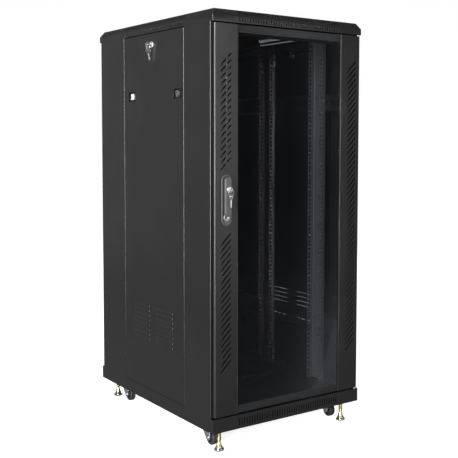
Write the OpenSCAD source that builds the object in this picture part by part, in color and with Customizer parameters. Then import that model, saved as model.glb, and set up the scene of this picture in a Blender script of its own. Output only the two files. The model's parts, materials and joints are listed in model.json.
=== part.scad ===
// Free-standing 19-inch network cabinet, 27U, 600 x 800 mm.
// Millimetres. Origin on the floor under the centre of the cabinet, +Z up,
// -Y is the glass front door, -X the side with the louvred panel and spare key.

/* [Cabinet] */
// Outer width of base and roof
cab_w = 600; // [590:1:620]
// Outer depth of base and roof
cab_d = 800; // [790:1:860]
// Height of the base's underside over the floor
foot_h = 70; // [68:1:74]
// Height of the base plinth
base_h = 45; // [40:1:50]
// Height from base top to roof
body_h = 1230; // [1225:1:1300]
// Height of the roof's upright lip
lip_h = 20; // [16:1:24]
// Height of the roof's bevel
bevel_h = 20; // [16:1:24]
// How far the bevel leans in
bevel_in = 13; // [8:1:16]
// Thickness of frame and panel sheet
sheet = 1.5; // [1.2:0.1:2]

/* [Side panels] */
// Y of the removable panel's front edge
panel_front = -226; // [-236:1:-216]
// Y of the removable panel's rear edge
panel_rear = 198; // [188:1:208]
// Height of the side lock over the floor
side_lock_z = 1305; // [1290:1:1310]
// Height of the slide latches over the floor
latch_z = 1134; // [1000:1:1200]
// Louvres in one block
louvre_count = 8; // [4:1:12]
// Distance between louvres
louvre_pitch = 16.7; // [14:0.1:20]

/* [Front door] */
// Thickness of the doors
door_t = 20; // [18:1:22]
// Half width of the glass opening
glass_half = 207; // [200:1:208]
// Distance between the slanted slots
slot_pitch = 20; // [18:0.5:24]
// Width of a slanted slot
slot_w = 4.5; // [3:0.5:6]
// Height of the handle's pivot over the floor
handle_z = 746; // [700:1:800]
// How far the handle moves each lock rod
rod_travel = 11; // [10:0.5:12]

/* [Rack] */
// Rack units
units = 27; // [20:1:27]
// Distance between the two hole columns across the cabinet
hole_span = 465; // [465:0.1:465.2]
// Side of a square cage-nut hole
cage_hole = 9.5; // [9:0.1:9.6]
// Depth of one mounting rail
rail_d = 66; // [60:1:70]
// Y of the front rails' front face
rail_front_y = -270; // [-290:1:-250]
// Y of the rear rails' front face
rail_rear_y = 34; // [20:1:60]

/* [Running gear] */
// Wheel radius
wheel_r = 24; // [20:1:24]
// Gap left under the wheels when the feet carry the load
wheel_gap = 2; // [1:0.5:4]
// Distance of the axle from the swivel axis
caster_trail = 18; // [14:1:20]

/* [Hidden] */
$fn = 48;
hw = cab_w / 2;
hd = cab_d / 2;
base_top = foot_h + base_h;
roof_z = base_top + body_h;
roof_top = roof_z + lip_h + bevel_h;
base_t = 2;
eps = 1;                       // overshoot of a cutting tool

// Posts: one folded sheet each
strip_end = hd - 14;           // side face stops short of the door's edge
flange_y = hd - 24;            // outer face of the flange behind the door
flange_in = hw - 56;           // inner end of that flange
return_y = hd - 50;            // depth of the flange's return
ledge_in = hw - 16;            // ledge beside the panel's fold
ledge_w = 20;                  // its return, which carries the braces

// Doors
door_lo = base_top + 5;
door_hi = roof_z - 4;
door_l = -hw + 7;
door_r = hw - 4;
edge_r = 8;
hinge_x = hw - 10;
hinge_y = hd - 7;
pin_r = 3;
run = 0.05;                    // radial running clearance

// Slanted slots of the stiles: middle of each column and the lowest slot's foot
slot_run = 38;
slot_len = slot_run * sqrt(2);
slots_left_x = -252;
slots_right_x = 259;
slots_z = 258;
slots_over_handle_z = 893;

// Handle
handle_x = -252;
plate_w = 37;
plate_lo = 720;
plate_hi = 879;
plate_t = 6;
spindle_r = 8;
plug_r = 6;
lever_plug_z = 833;
lever_top = 872;
lever_front = hd + 18;

cam_y = -hd + 6;
cam_t = 2.5;
cam_r = 16;
cam_pin_r = 2.5;
rod_r = 4;
rod_y_pos = hd - 13;
rod_plate_t = 2;

// The two rods' plates lie in two layers behind the cam
function rod_plate_y(s) = -rod_y_pos + (s > 0 ? -3.8 : -0.6);

// Keys: hole of the bow, and the split ring
key_hole = 11;                 // from the plug's face to the centre of the bow
key_hole_r = 2.6;
key_blade = 24;                // blade of a key that hangs free
key_in = 8;                    // blade of a key in its lock
ring_r = 10;
wire_r = 0.9;

// Barrel locks of the side panels and the rear door
lock_y = (panel_front + panel_rear) / 2;
barrel_r = 9.5;
barrel_flange = 3;
barrel_flange_r = 12;
plug_proud = 0.5;              // plug face in front of its barrel
side_barrel = 12;
rear_barrel = 28;
rear_lock_x = -222;
rear_lock_z = 800;
rear_reach = lever_front + 1 - hd - barrel_flange - plug_proud;

// Slide latches and their pockets
pocket_d = 8;
pocket_l = 56;
pocket_h = 32;
latch_slot = 22;
latch_travel = 8;
latch_y = [-188, 135];         // centres of the front and the rear pocket

// Air slots, louvres and cable openings
air_w = 4;
air_pitch = 10;
air_x = 200;                   // outermost slot of a front or rear row
side_louvre_len = 112;
side_louvre_y = 81;            // block centres either side of the lock
side_louvre_z = 288;
rear_louvre_len = 150;
rear_louvre_x = 100;
rear_louvre_z = [240, 1090];
cable_half = 150;
cable_y = [215, 305];
fan_y = [-160, 20];
fan_hole = 105;
cover_rim = 10;

// Rack rails and their braces
rail_out = hole_span / 2 + 19.5;
rail_in = hole_span / 2 - 7;
rail_t = 2;
rail_lo = base_top + 5;
rail_hi = roof_z - 12;
unit_h = 44.45;
brace_h = 60;
brace_z = [323, 1118];
rack_z = rail_lo + 5;

// Running gear
foot_x = hw - 47;
foot_y = hd - 38;
caster_x = hw - 55;
caster_y = hd - 110;
axle_z = wheel_r + wheel_gap;
axle_r = 4;
king_r = 5;
king_lo = 54;
plate_lo_z = foot_h - 3;
stud_r = 7;
bolt_r = 3;

black = [0.17, 0.17, 0.18];
zinc = [0.75, 0.76, 0.78];
gold = [0.72, 0.58, 0.30];

// ---- helpers ----

// A box between two corners
module box(lo, hi) {
    translate(lo) cube(hi - lo);
}

// A rectangle between two corners
module rect(lo, hi) {
    translate(lo) square(hi - lo);
}

// Children are drawn for the left side and mirrored for the right
module on_side(left) {
    if (left) children();
    else mirror([1, 0, 0]) children();
}

// Children are drawn for the front and mirrored for the rear
module on_end(front) {
    if (front) children();
    else mirror([0, 1, 0]) children();
}

// A cylinder along X, Y or Z from a point
module rod_x(p, r, len) {
    translate(p) rotate([0, 90, 0]) cylinder(r = r, h = len);
}
module rod_y(p, r, len) {
    translate(p) rotate([-90, 0, 0]) cylinder(r = r, h = len);
}
module rod_z(p, r, len) {
    translate(p) cylinder(r = r, h = len);
}

// An upright stadium in the XZ plane, its thickness along +Y
module stadium_y(cx, y0, zlo, zhi, w, t) {
    r = w / 2;
    translate([cx, y0 + t, 0]) rotate([90, 0, 0]) linear_extrude(t) union() {
        translate([-r, zlo + r]) square([w, zhi - zlo - w]);
        translate([0, zlo + r]) circle(r);
        translate([0, zhi - r]) circle(r);
    }
}

// Pressed louvres on an outer face at z 0, along x, hoods towards +z and open at -y
module louvres(len, count) {
    hood = 4;
    rise = 8;
    for (i = [0:count - 1]) translate([-len / 2, i * louvre_pitch, 0]) union() {
        rotate([90, 0, 90]) linear_extrude(len)
            polygon([[rise, -sheet], [rise, 0], [1, hood], [0, hood], [0, hood - 1],
                [rise - 3, -sheet]]);
        for (x = [0, len - 1]) translate([x, 0, 0]) rotate([90, 0, 90]) linear_extrude(1)
            polygon([[0, -sheet], [0, hood], [1, hood], [rise, 0], [rise, -sheet]]);
    }
}

// The openings under the louvres
module louvre_cuts(len, count) {
    for (i = [0:count - 1])
        box([-len / 2 + 1, i * louvre_pitch, -sheet - eps],
            [len / 2 - 1, i * louvre_pitch + 5, eps]);
}

// ---- frame ----

module foot_sites() {
    for (x = [-foot_x, foot_x], y = [-foot_y, foot_y]) translate([x, y, 0]) children();
}

module caster_sites() {
    for (x = [-caster_x, caster_x], y = [-caster_y, caster_y]) translate([x, y, 0]) children();
}

module base_frame() {
    gusset_x = 110;
    gusset_y = 160;
    gusset_t = 3;
    nut_r = 13;
    nut_h = 12;
    flange = 25;
    deep_flange = 95;
    side_slot_x = 270;
    floor_z = base_top - base_t;
    tray_x = 190;
    tray_y = [-290, -42];
    tray_z = base_top - 10;
    color(black) difference() {
        union() {
            difference() {
                box([-hw, -hd, foot_h], [hw, hd, base_top]);
                box([-hw + base_t, -hd + base_t, foot_h - eps],
                    [hw - base_t, hd - base_t, floor_z]);
            }
            difference() {
                box([-hw + base_t / 2, -hd + base_t / 2, foot_h],
                    [hw - base_t / 2, hd - base_t / 2, foot_h + base_t]);
                box([-hw + flange, -hd + deep_flange, foot_h - eps],
                    [hw - flange, hd - deep_flange, foot_h + base_t + eps]);
            }
            // sunken tray in the floor
            box([-tray_x - base_t, tray_y[0] - base_t, tray_z - base_t],
                [tray_x + base_t, tray_y[1] + base_t, floor_z + base_t / 2]);
            for (sx = [-1, 1], sy = [-1, 1]) at_corner(sx, sy)
                box([-hw + base_t / 2, -hd + base_t / 2, foot_h],
                    [-hw + gusset_x, -hd + gusset_y, foot_h + gusset_t]);
            foot_sites() translate([0, 0, foot_h + gusset_t - eps]) rotate(30)
                cylinder(r = nut_r, h = nut_h + eps, $fn = 6);
        }
        foot_sites() translate([0, 0, foot_h - eps])
            cylinder(r = stud_r + run, h = gusset_t + nut_h + 3 * eps);
        // front and rear air slots
        for (x = [-air_x:air_pitch:air_x])
            box([x - air_w / 2, -hd - eps, foot_h + 8], [x + air_w / 2, hd + eps, foot_h + 33]);
        cable_cut(floor_z - eps, base_t + 2 * eps);
        box([-tray_x, tray_y[0], tray_z], [tray_x, tray_y[1], base_top + eps]);
        // air slots of the floor
        for (x = [-side_slot_x, side_slot_x], y = [-300:10:200])
            box([x - 9, y - 2.5, floor_z - eps], [x + 9, y + 2.5, base_top + eps]);
        door_pin_holes(floor_z - eps, base_t + 2 * eps);
        rod_z([handle_x - rod_travel, -rod_y_pos, floor_z - eps], rod_r + 2, base_t + 2 * eps);
    }
}

// The cable opening of floor or roof
module cable_cut(z, h) {
    box([-cable_half, cable_y[0], z], [cable_half, cable_y[1], z + h]);
}

// Mirrors the front left corner to any corner
module at_corner(sx, sy) {
    mirror([sx > 0 ? 1 : 0, 0, 0]) mirror([0, sy > 0 ? 1 : 0, 0]) children();
}

// Holes for the hinge pins of both doors
module door_pin_holes(z, h) {
    for (y = [-hinge_y, hinge_y]) translate([hinge_x, y, z]) cylinder(r = pin_r + run, h = h);
}

module top_frame() {
    h = 30;
    w = 25;
    catch_y = [lock_y - 20, lock_y + 20];
    catch_x = hw - 10;
    catch_h = 14;
    color(black) union() {
        difference() {
            box([-ledge_in, -return_y, roof_z - h], [ledge_in, return_y, roof_z]);
            box([-ledge_in + w, -return_y + w, roof_z - h - eps],
                [ledge_in - w, return_y - w, roof_z + eps]);
            box([-ledge_in + sheet, -return_y + sheet, roof_z - h + sheet],
                [ledge_in - sheet, return_y - sheet, roof_z - sheet]);
        }
        // catches behind whose lips the side locks' cams turn, riveted to the channel
        for (left = [true, false]) on_side(left) difference() {
            box([-catch_x, catch_y[0], roof_z - catch_h], [-ledge_in - run, catch_y[1], roof_z]);
            box([-catch_x + sheet, catch_y[0] - eps, roof_z - catch_h - eps],
                [-ledge_in - run - sheet, catch_y[1] + eps, roof_z - sheet]);
        }
    }
}

// The roof's outer or inner form: lip, bevel and flat top, made smaller by t
module roof_form(t) {
    z0 = roof_z - (t > 0 ? eps : 0);
    z1 = roof_z + lip_h;
    z2 = roof_top - t;
    intersection() {
        translate([0, hd, 0]) rotate([90, 0, 0]) linear_extrude(cab_d)
            polygon([[-hw + t, z0], [hw - t, z0], [hw - t, z1],
                [hw - bevel_in - t, z2], [-hw + bevel_in + t, z2], [-hw + t, z1]]);
        translate([-hw, 0, 0]) rotate([90, 0, 90]) linear_extrude(cab_w)
            polygon([[-hd + t, z0], [hd - t, z0], [hd - t, z1],
                [hd - bevel_in - t, z2], [-hd + bevel_in + t, z2], [-hd + t, z1]]);
    }
}

module top_cap() {
    flange = 60;
    slot_h = 12;
    slot_z = [roof_z + 5, roof_z + lip_h + 4];
    color(black) difference() {
        union() {
            difference() {
                roof_form(0);
                roof_form(base_t);
            }
            difference() {
                box([-hw + base_t / 2, -hd + base_t / 2, roof_z],
                    [hw - base_t / 2, hd - base_t / 2, roof_z + base_t]);
                box([-hw + flange, -hd + flange, roof_z - eps],
                    [hw - flange, hd - flange, roof_z + base_t + eps]);
            }
        }
        // air slots: a row in the lip and a row in the bevel, on all four sides
        for (x = [-air_x:air_pitch:air_x], z = slot_z)
            box([x - air_w / 2, -hd - eps, z], [x + air_w / 2, hd + eps, z + slot_h]);
        for (y = [-224:air_pitch:196], z = slot_z)
            box([-hw - eps, y - air_w / 2, z], [hw + eps, y + air_w / 2, z + slot_h]);
        for (y = fan_y) translate([0, y, roof_top - base_t - eps]) fan_place(base_t + 2 * eps);
        cable_cut(roof_top - base_t - eps, base_t + 2 * eps);
        door_pin_holes(roof_z - eps, base_t + 2 * eps);
        rod_z([handle_x + rod_travel, -rod_y_pos, roof_z - eps], rod_r + 2, base_t + 2 * eps);
    }
}

// Openings for one 120 mm fan: four screw holes and a round grille of bars
module fan_place(h) {
    grille_r = 56;
    bar_pitch = 12;
    gap = 6;
    fan_screws(h);
    for (i = [-4:4]) {
        half = sqrt(pow(grille_r, 2) - pow(i * bar_pitch, 2));
        box([-half, i * bar_pitch - gap / 2, 0], [half, i * bar_pitch + gap / 2, h]);
    }
}

module fan_screws(h) {
    for (sx = [-1, 1], sy = [-1, 1]) translate([sx * fan_hole / 2, sy * fan_hole / 2, 0])
        cylinder(r = 2.15, h = h);
}

// Covers of the cable openings, and blanking plates under the fan grilles
module cable_covers() {
    fan_plate = 62;
    under = roof_top - base_t - sheet;
    color(black) for (y = fan_y) difference() {
        box([-fan_plate, y - fan_plate, under], [fan_plate, y + fan_plate, under + sheet]);
        translate([0, y, under - eps]) fan_screws(sheet + 2 * eps);
    }
    color(black) for (z = [base_top - base_t - sheet, roof_top - base_t - sheet])
        difference() {
            box([-cable_half - cover_rim, cable_y[0] - cover_rim, z],
                [cable_half + cover_rim, cable_y[1] + cover_rim, z + sheet]);
            for (x = [-cable_half - 4, cable_half + 4], y = [cable_y[0] - 4, cable_y[1] + 4])
                rod_z([x, y, z - eps], 1.6, sheet + 2 * eps);
        }
}

// A corner post, drawn for the front left corner; edge is the panel's edge on its side
module post(edge, strike_cut) {
    color(black) difference() {
        translate([0, 0, base_top]) linear_extrude(body_h) union() {
            rect([-hw, -strip_end], [-hw + sheet, edge]);
            rect([-hw, -flange_y], [-flange_in, -flange_y + sheet]);
            rect([-flange_in - sheet, -flange_y], [-flange_in, -return_y]);
            rect([-hw, edge - sheet], [-ledge_in, edge]);
            rect([-ledge_in - sheet, edge - ledge_w], [-ledge_in, edge]);
        }
        // strike for the slide latch
        box([-hw + 6, edge - sheet - eps, latch_z - 12],
            [-hw + 15, edge + eps, latch_z + 12]);
        // cable and bracket holes in the return flange
        for (z = [180:80:1280])
            box([-flange_in - sheet - eps, -return_y - 17, z], [-flange_in + eps, -return_y - 9, z + 24]);
        if (strike_cut)
            box([-flange_in - sheet - eps, -return_y - 25, rear_lock_z - 12],
                [-flange_in + eps, -return_y - 15, rear_lock_z + 12]);
    }
}

module post_front(left) {
    on_side(left) post(panel_front, false);
}

module post_rear(left) {
    on_side(left) on_end(false) post(-panel_rear, left);
}

// A depth brace of C section, bolted to the posts' ledges and carrying the rails
module brace(z) {
    in_x = -rail_out;
    web_x = in_x - rail_t;
    half = brace_h / 2;
    len = return_y - 4;
    color(black) difference() {
        union() {
            box([web_x, -len, z - half], [in_x, len, z + half]);
            for (s = [-1, 1])
                box([-ledge_in, -len, z + s * (half - 1) - 1], [in_x, len, z + s * (half - 1) + 1]);
            for (y = [panel_front - ledge_w, panel_rear])
                box([-ledge_in, y, z - half], [-ledge_in + rail_t, y + ledge_w, z + half]);
        }
        for (y = [-330:60:330]) box([web_x - eps, y - 14, z - 4], [in_x + eps, y + 14, z + 4]);
        for (y = [-300:60:300]) rod_x([web_x - eps, y, z], 6, rail_t + 2 * eps);
        bolt_sites() rod_x([web_x - eps, 0, 0], bolt_r + 0.25, rail_t + 2 * eps);
    }
}

// Where the rails are bolted to the left braces
module bolt_sites() {
    for (y0 = [rail_front_y, rail_rear_y], dy = [18, rail_d - 18], z = brace_z, dz = [-18, 18])
        translate([0, y0 + dy, z + dz]) children();
}

// A mounting rail: a C section with square holes in both flanges
module rail(y0) {
    color([0.2, 0.2, 0.21]) difference() {
        translate([0, 0, rail_lo]) linear_extrude(rail_hi - rail_lo) union() {
            rect([-rail_out, y0], [-rail_out + rail_t, y0 + rail_d]);
            rect([-rail_out, y0], [-rail_in, y0 + rail_t]);
            rect([-rail_out, y0 + rail_d - rail_t], [-rail_in, y0 + rail_d]);
        }
        for (u = [0:units - 1], h = [6.35, 22.225, 38.1])
            translate([-hole_span / 2, y0 + rail_d / 2, rack_z + u * unit_h + h])
                cube([cage_hole, rail_d + 2, cage_hole], center = true);
        for (z = [rail_lo + 60:100:rail_hi - 60])
            rod_x([-rail_out - eps, y0 + rail_d / 2, z], 5, rail_t + 2 * eps);
        bolt_sites() rod_x([-rail_out - eps, 0, 0], bolt_r + 0.25, rail_t + 2 * eps);
    }
}

module rail_bolts() {
    head_r = 5;
    head_h = 4;
    nut_h = 5;
    color(zinc) for (left = [true, false]) on_side(left) bolt_sites() union() {
        rod_x([-rail_out - rail_t - nut_h, 0, 0], bolt_r, nut_h + 2 * rail_t + 1);
        rod_x([-rail_out + rail_t, 0, 0], head_r, head_h);
        translate([-rail_out - rail_t - nut_h, 0, 0]) rotate([0, 90, 0])
            cylinder(r = 5.7, h = nut_h, $fn = 6);
    }
}

// ---- doors ----

// Outline of a door stile between x0 (rounded outer edge) and x1, both below zero
module stile_outline(x0, x1) {
    rect([x0 + edge_r, -hd], [x1, -hd + door_t]);
    rect([x0, -hd + edge_r], [x1, -hd + door_t]);
    translate([x0 + edge_r, -hd + edge_r]) circle(edge_r);
}

// The same stile as a folded sheet, open at the back
module stile_plan(x0, x1) {
    lip = 10;
    difference() {
        stile_outline(x0, x1);
        rect([x0 + edge_r, -hd + sheet], [x1 - sheet, -hd + door_t - sheet]);
        rect([x0 + sheet, -hd + edge_r], [x1 - sheet, -hd + door_t - sheet]);
        translate([x0 + edge_r, -hd + edge_r]) circle(edge_r - sheet);
        rect([x0 + sheet + lip, -hd + door_t - sheet - eps], [x1 - sheet - lip, -hd + door_t + eps]);
    }
}

// Slanted slots rising to the right, the lowest one's lower end at z0
module slanted_slots(x_mid, z0, count) {
    for (i = [0:count - 1])
        translate([x_mid, -hd, z0 + slot_run / 2 + i * slot_pitch]) rotate([0, -45, 0])
            cube([slot_len, 4 * sheet, slot_w], center = true);
}

module front_door_frame() {
    end_t = 3;
    stile_in = glass_half + 1.5;
    rail_h = 25;
    rail_y0 = -hd + 6;
    color(black) difference() {
        union() {
            translate([0, 0, door_lo]) linear_extrude(door_hi - door_lo) union() {
                stile_plan(door_l, -stile_in);
                mirror([1, 0, 0]) stile_plan(-door_r, -stile_in);
            }
            // end plates of the stiles
            for (z = [door_lo, door_hi - end_t]) translate([0, 0, z]) linear_extrude(end_t) {
                stile_outline(door_l, -stile_in);
                mirror([1, 0, 0]) stile_outline(-door_r, -stile_in);
            }
            // cross rails behind the glass
            for (z = [door_lo, door_hi - rail_h]) difference() {
                box([-stile_in, rail_y0, z], [stile_in, -hd + door_t, z + rail_h]);
                box([-stile_in - eps, rail_y0 + sheet, z + sheet],
                    [stile_in + eps, -hd + door_t + eps, z + rail_h - sheet]);
            }
        }
        // left stile: slots over and under the handle; right stile: one column
        slanted_slots(slots_left_x, slots_over_handle_z, 17);
        slanted_slots(slots_left_x, slots_z, 21);
        slanted_slots(slots_right_x, slots_z, 49);
        // handle spindle, fixing screws, hinge pins and lock rods
        rod_y([handle_x, -hd - eps, handle_z], spindle_r + run, 4);
        for (z = [plate_lo + 8, plate_hi - 8]) rod_y([handle_x, -hd - eps, z], 2.2, 4);
        for (z = [door_lo - eps, door_hi - end_t - eps])
            rod_z([hinge_x, -hinge_y, z], pin_r + run, end_t + 2 * eps);
        rod_z([handle_x + rod_travel, -rod_y_pos, door_hi - end_t - eps], rod_r + run,
            end_t + 2 * eps);
        rod_z([handle_x - rod_travel, -rod_y_pos, door_lo - eps], rod_r + run,
            end_t + 2 * eps);
    }
}

module door_glass() {
    color([0.1, 0.1, 0.12, 0.5])
        box([-glass_half, -hd + 0.5, door_lo + 0.5], [glass_half, -hd + 4.5, door_hi - 0.5]);
}

// Rubber strips beside the glass and foam tape between it and the cross rails
module glass_seal() {
    color([0.08, 0.08, 0.08]) union() {
        for (left = [true, false]) on_side(left)
            box([-glass_half - 1.5, -hd + 0.3, door_lo + 0.5], [-glass_half, -hd + 4.5, door_hi - 0.5]);
        for (z = [door_lo + 0.5, door_hi - 24.5])
            box([-glass_half, -hd + 4.5, z], [glass_half, -hd + 6, z + 24]);
    }
}

// Upper and lower pin of each door, with a collar that carries the door
module hinge_pins() {
    head_r = 4.6;
    head_h = 2;
    color(zinc) for (y = [-hinge_y, hinge_y]) {
        union() {
            rod_z([hinge_x, y, base_top - base_t - head_h], pin_r, 22);
            rod_z([hinge_x, y, base_top - base_t - head_h], head_r, head_h);
            rod_z([hinge_x, y, base_top], head_r, door_lo - base_top - 0.1);
        }
        union() {
            rod_z([hinge_x, y, roof_z - 14], pin_r, 16 + head_h);
            rod_z([hinge_x, y, roof_z + base_t], head_r, head_h);
        }
    }
}

module handle_plate() {
    recess = 3;
    color([0.35, 0.35, 0.37]) difference() {
        union() {
            stadium_y(handle_x, -hd - plate_t, plate_lo, plate_hi, plate_w, plate_t);
            for (z = [plate_lo + 8, plate_hi - 8]) rod_y([handle_x, -hd - 1, z], 2, 7);
        }
        stadium_y(handle_x, -hd - plate_t - eps, plate_lo + 5, plate_hi - 5, plate_w - 10, recess + eps);
        rod_y([handle_x, -hd - plate_t - eps, handle_z], spindle_r + run, plate_t + 2 * eps);
    }
}

// Turning boss: hub, lug and cross pin for the lever, spindle, and the cam that moves the rods
module handle_hub() {
    hub_y = -hd - plate_t - 0.3;
    color(zinc) union() {
        rod_y([handle_x, hub_y - 3, handle_z], 12.5, 3);
        rod_y([handle_x, hub_y - 1, handle_z], spindle_r, cam_y - hub_y + 2);
        box([handle_x - 4, hub_y - 9, handle_z - 3], [handle_x + 4, hub_y - 1, handle_z + 3]);
        rod_x([handle_x - 10, hub_y - 6.2, handle_z], 2, 20);
        rod_y([handle_x, cam_y, handle_z], cam_r, cam_t);
        for (s = [-1, 1])
            rod_y([handle_x + s * rod_travel, cam_y + 1, handle_z], cam_pin_r,
                rod_plate_y(s) + rod_plate_t + 0.4 - cam_y);
    }
}

// Swing lever over the plate, hinged on the hub's cross pin
module handle_lever() {
    pivot_y = -hd - plate_t - 6.5;
    back = -hd - plate_t - 0.6;
    lever_w = 25;
    color([0.45, 0.45, 0.47]) difference() {
        union() {
            stadium_y(handle_x, -lever_front, handle_z + 3, lever_top, lever_w,
                back + lever_front);
            rod_x([handle_x - lever_w / 2, pivot_y, handle_z], 2.9, lever_w);
            box([handle_x - lever_w / 2, -lever_front + 2, handle_z],
                [handle_x + lever_w / 2, pivot_y, handle_z + 14]);
        }
        // room for the lug, the hub disc and the fingers
        box([handle_x - 4.3, -lever_front - eps, handle_z - 6],
            [handle_x + 4.3, back + eps, handle_z + 6]);
        box([handle_x - 20, pivot_y + 3, handle_z - 6],
            [handle_x + 20, back + eps, handle_z + 14]);
        box([handle_x - 7, back - 6, handle_z + 22],
            [handle_x + 7, back + eps, lever_plug_z - 14]);
        rod_x([handle_x - 20, pivot_y, handle_z], 2 + run, 40);
        rod_y([handle_x, -lever_front - eps, lever_plug_z], plug_r + run, 20);
    }
}

// A lock plug along +Y from its face at the origin, with an upright keyway
module lock_plug(len) {
    difference() {
        rod_y([0, 0, 0], plug_r, len);
        box([-1.3, -eps, -4.3], [1.3, 9, 4.3]);
    }
}

// A flat key in the YZ plane, its blade pointing along +Y from the origin
module flat_key(blade) {
    bow_r = 9;
    neck = 4;
    difference() {
        union() {
            box([-1, -neck, -3.5], [1, blade, 3.5]);
            rod_x([-1, -key_hole, 0], bow_r, 2);
        }
        rod_x([-1 - eps, -key_hole, 0], key_hole_r, 2 + 2 * eps);
        for (i = [0:2]) translate([0, blade - 2 - i * 2.6, 4]) rotate([45, 0, 0])
            cube([4, 2, 2], center = true);
    }
}

// A split ring hanging from the origin, with a spare key on it
module spare_key_on_ring(blade) {
    translate([0, 0, -ring_r + 1]) rotate([90, 0, 0]) rotate_extrude()
        translate([ring_r, 0]) circle(wire_r, $fn = 24);
    translate([0, 0, -2 * ring_r + 1 - key_hole_r + wire_r]) rotate([-90, 0, 0])
        translate([0, key_hole, 0]) flat_key(blade);
}

module handle_lock_plug() {
    color(zinc) translate([handle_x, -lever_front - 1, lever_plug_z]) lock_plug(11);
}

module handle_key() {
    color(zinc) translate([handle_x, -lever_front - 1, lever_plug_z]) flat_key(key_in);
}

module handle_spare_key() {
    color(zinc) translate([handle_x, -lever_front - 1 - key_hole, lever_plug_z])
        spare_key_on_ring(key_blade);
}

// One rod with the slotted plate round the cam's pin; s is the side of the pin and the way the rod points
module lock_rod(s, z_end) {
    y = rod_plate_y(s);
    slot_r = cam_pin_r + 0.1;
    slack = 2.5;               // the plate runs evenly while the pin follows a sine
    near = 5;
    flip = s < 0 ? 1 : 0;
    color(zinc) translate([handle_x, 0, handle_z]) mirror([flip, 0, 0]) mirror([0, 0, flip])
        difference() {
            union() {
                box([-near, y, -near - 3], [rod_travel + near, y + rod_plate_t, near + 1]);
                rod_z([rod_travel, -rod_y_pos, near - 0.5], rod_r,
                    s * (z_end - handle_z) - near + 0.5);
            }
            box([-slot_r, y - eps, -slot_r - slack],
                [rod_travel + slot_r, y + rod_plate_t + eps, slot_r]);
        }
}

// Bearers that hold the rods in the stile
module rod_guides() {
    back = -hd + door_t - sheet;
    color(zinc) for (g = [[1, 960], [1, 1200], [-1, 300], [-1, 560]]) {
        x = handle_x + g[0] * rod_travel;
        difference() {
            box([x - 8, -hd + sheet, g[1] - 4], [x + 8, back, g[1] + 4]);
            rod_z([x, -rod_y_pos, g[1] - 5], rod_r + run, 10);
        }
    }
}

// ---- rear door ----

module rear_door() {
    inner = -hd + door_t;
    lip = 12;
    end_t = 3;
    color(black) on_end(false) difference() {
        union() {
            box([door_l, -hd, door_lo], [door_r, -hd + sheet, door_hi]);
            for (x = [door_l, door_r - sheet])
                box([x, -hd, door_lo], [x + sheet, inner, door_hi]);
            for (x = [door_l, door_r - lip])
                box([x, inner - sheet, door_lo], [x + lip, inner, door_hi]);
            for (z = [door_lo, door_hi - end_t])
                box([door_l, -hd, z], [door_r, inner, z + end_t]);
            rear_louvre_sites() louvres(rear_louvre_len, louvre_count);
        }
        rear_louvre_sites() louvre_cuts(rear_louvre_len, louvre_count);
        for (z = [door_lo - eps, door_hi - end_t - eps])
            rod_z([hinge_x, -hinge_y, z], pin_r + run, end_t + 2 * eps);
        rod_y([rear_lock_x, -hd - eps, rear_lock_z], barrel_r, sheet + 2 * eps);
    }
}

// The four louvre blocks, drawn on a front door's face
module rear_louvre_sites() {
    for (x = [-rear_louvre_x, rear_louvre_x], z = rear_louvre_z)
        translate([x, -hd, z]) rotate([90, 0, 0]) children();
}

// A lock barrel along +Y: its flange in front of y 0 and its body behind
module lock_barrel(len) {
    difference() {
        union() {
            rod_y([0, -barrel_flange, 0], barrel_flange_r, barrel_flange);
            rod_y([0, 0, 0], barrel_r - 0.1, len);
            rod_y([0, sheet, 0], barrel_flange_r, 3);
        }
        rod_y([0, -barrel_flange - eps, 0], plug_r + run, len + barrel_flange + 2 * eps);
    }
}

// A plug through a barrel of that length; its cam points along +Z, turned about Y by turn
module cam_plug(len, cam_len, turn) {
    cam_y0 = len + 0.5;
    union() {
        translate([0, -barrel_flange - plug_proud, 0])
            lock_plug(cam_y0 + barrel_flange + plug_proud);
        rod_y([0, cam_y0, 0], 7, 2);
        rotate([0, turn, 0]) box([-6, cam_y0, 0], [6, cam_y0 + 2, cam_len]);
    }
}

module at_rear_lock() {
    on_end(false) translate([rear_lock_x, -hd, rear_lock_z]) children();
}

module rear_lock_barrel() {
    color(zinc) at_rear_lock() lock_barrel(rear_barrel);
}

module rear_lock_plug() {
    color(zinc) at_rear_lock() cam_plug(rear_barrel, 20.5, -90);
}

// The rear key stands as far off the door as the front one
module rear_key() {
    color(zinc) at_rear_lock() translate([0, -barrel_flange - plug_proud, 0])
        long_key(rear_reach);
}

// A flat key whose neck is longer by extra
module long_key(extra) {
    union() {
        translate([0, -extra, 0]) flat_key(4);
        box([-1, -extra, -3.5], [1, key_in, 3.5]);
    }
}

// ---- side panels ----

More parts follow.
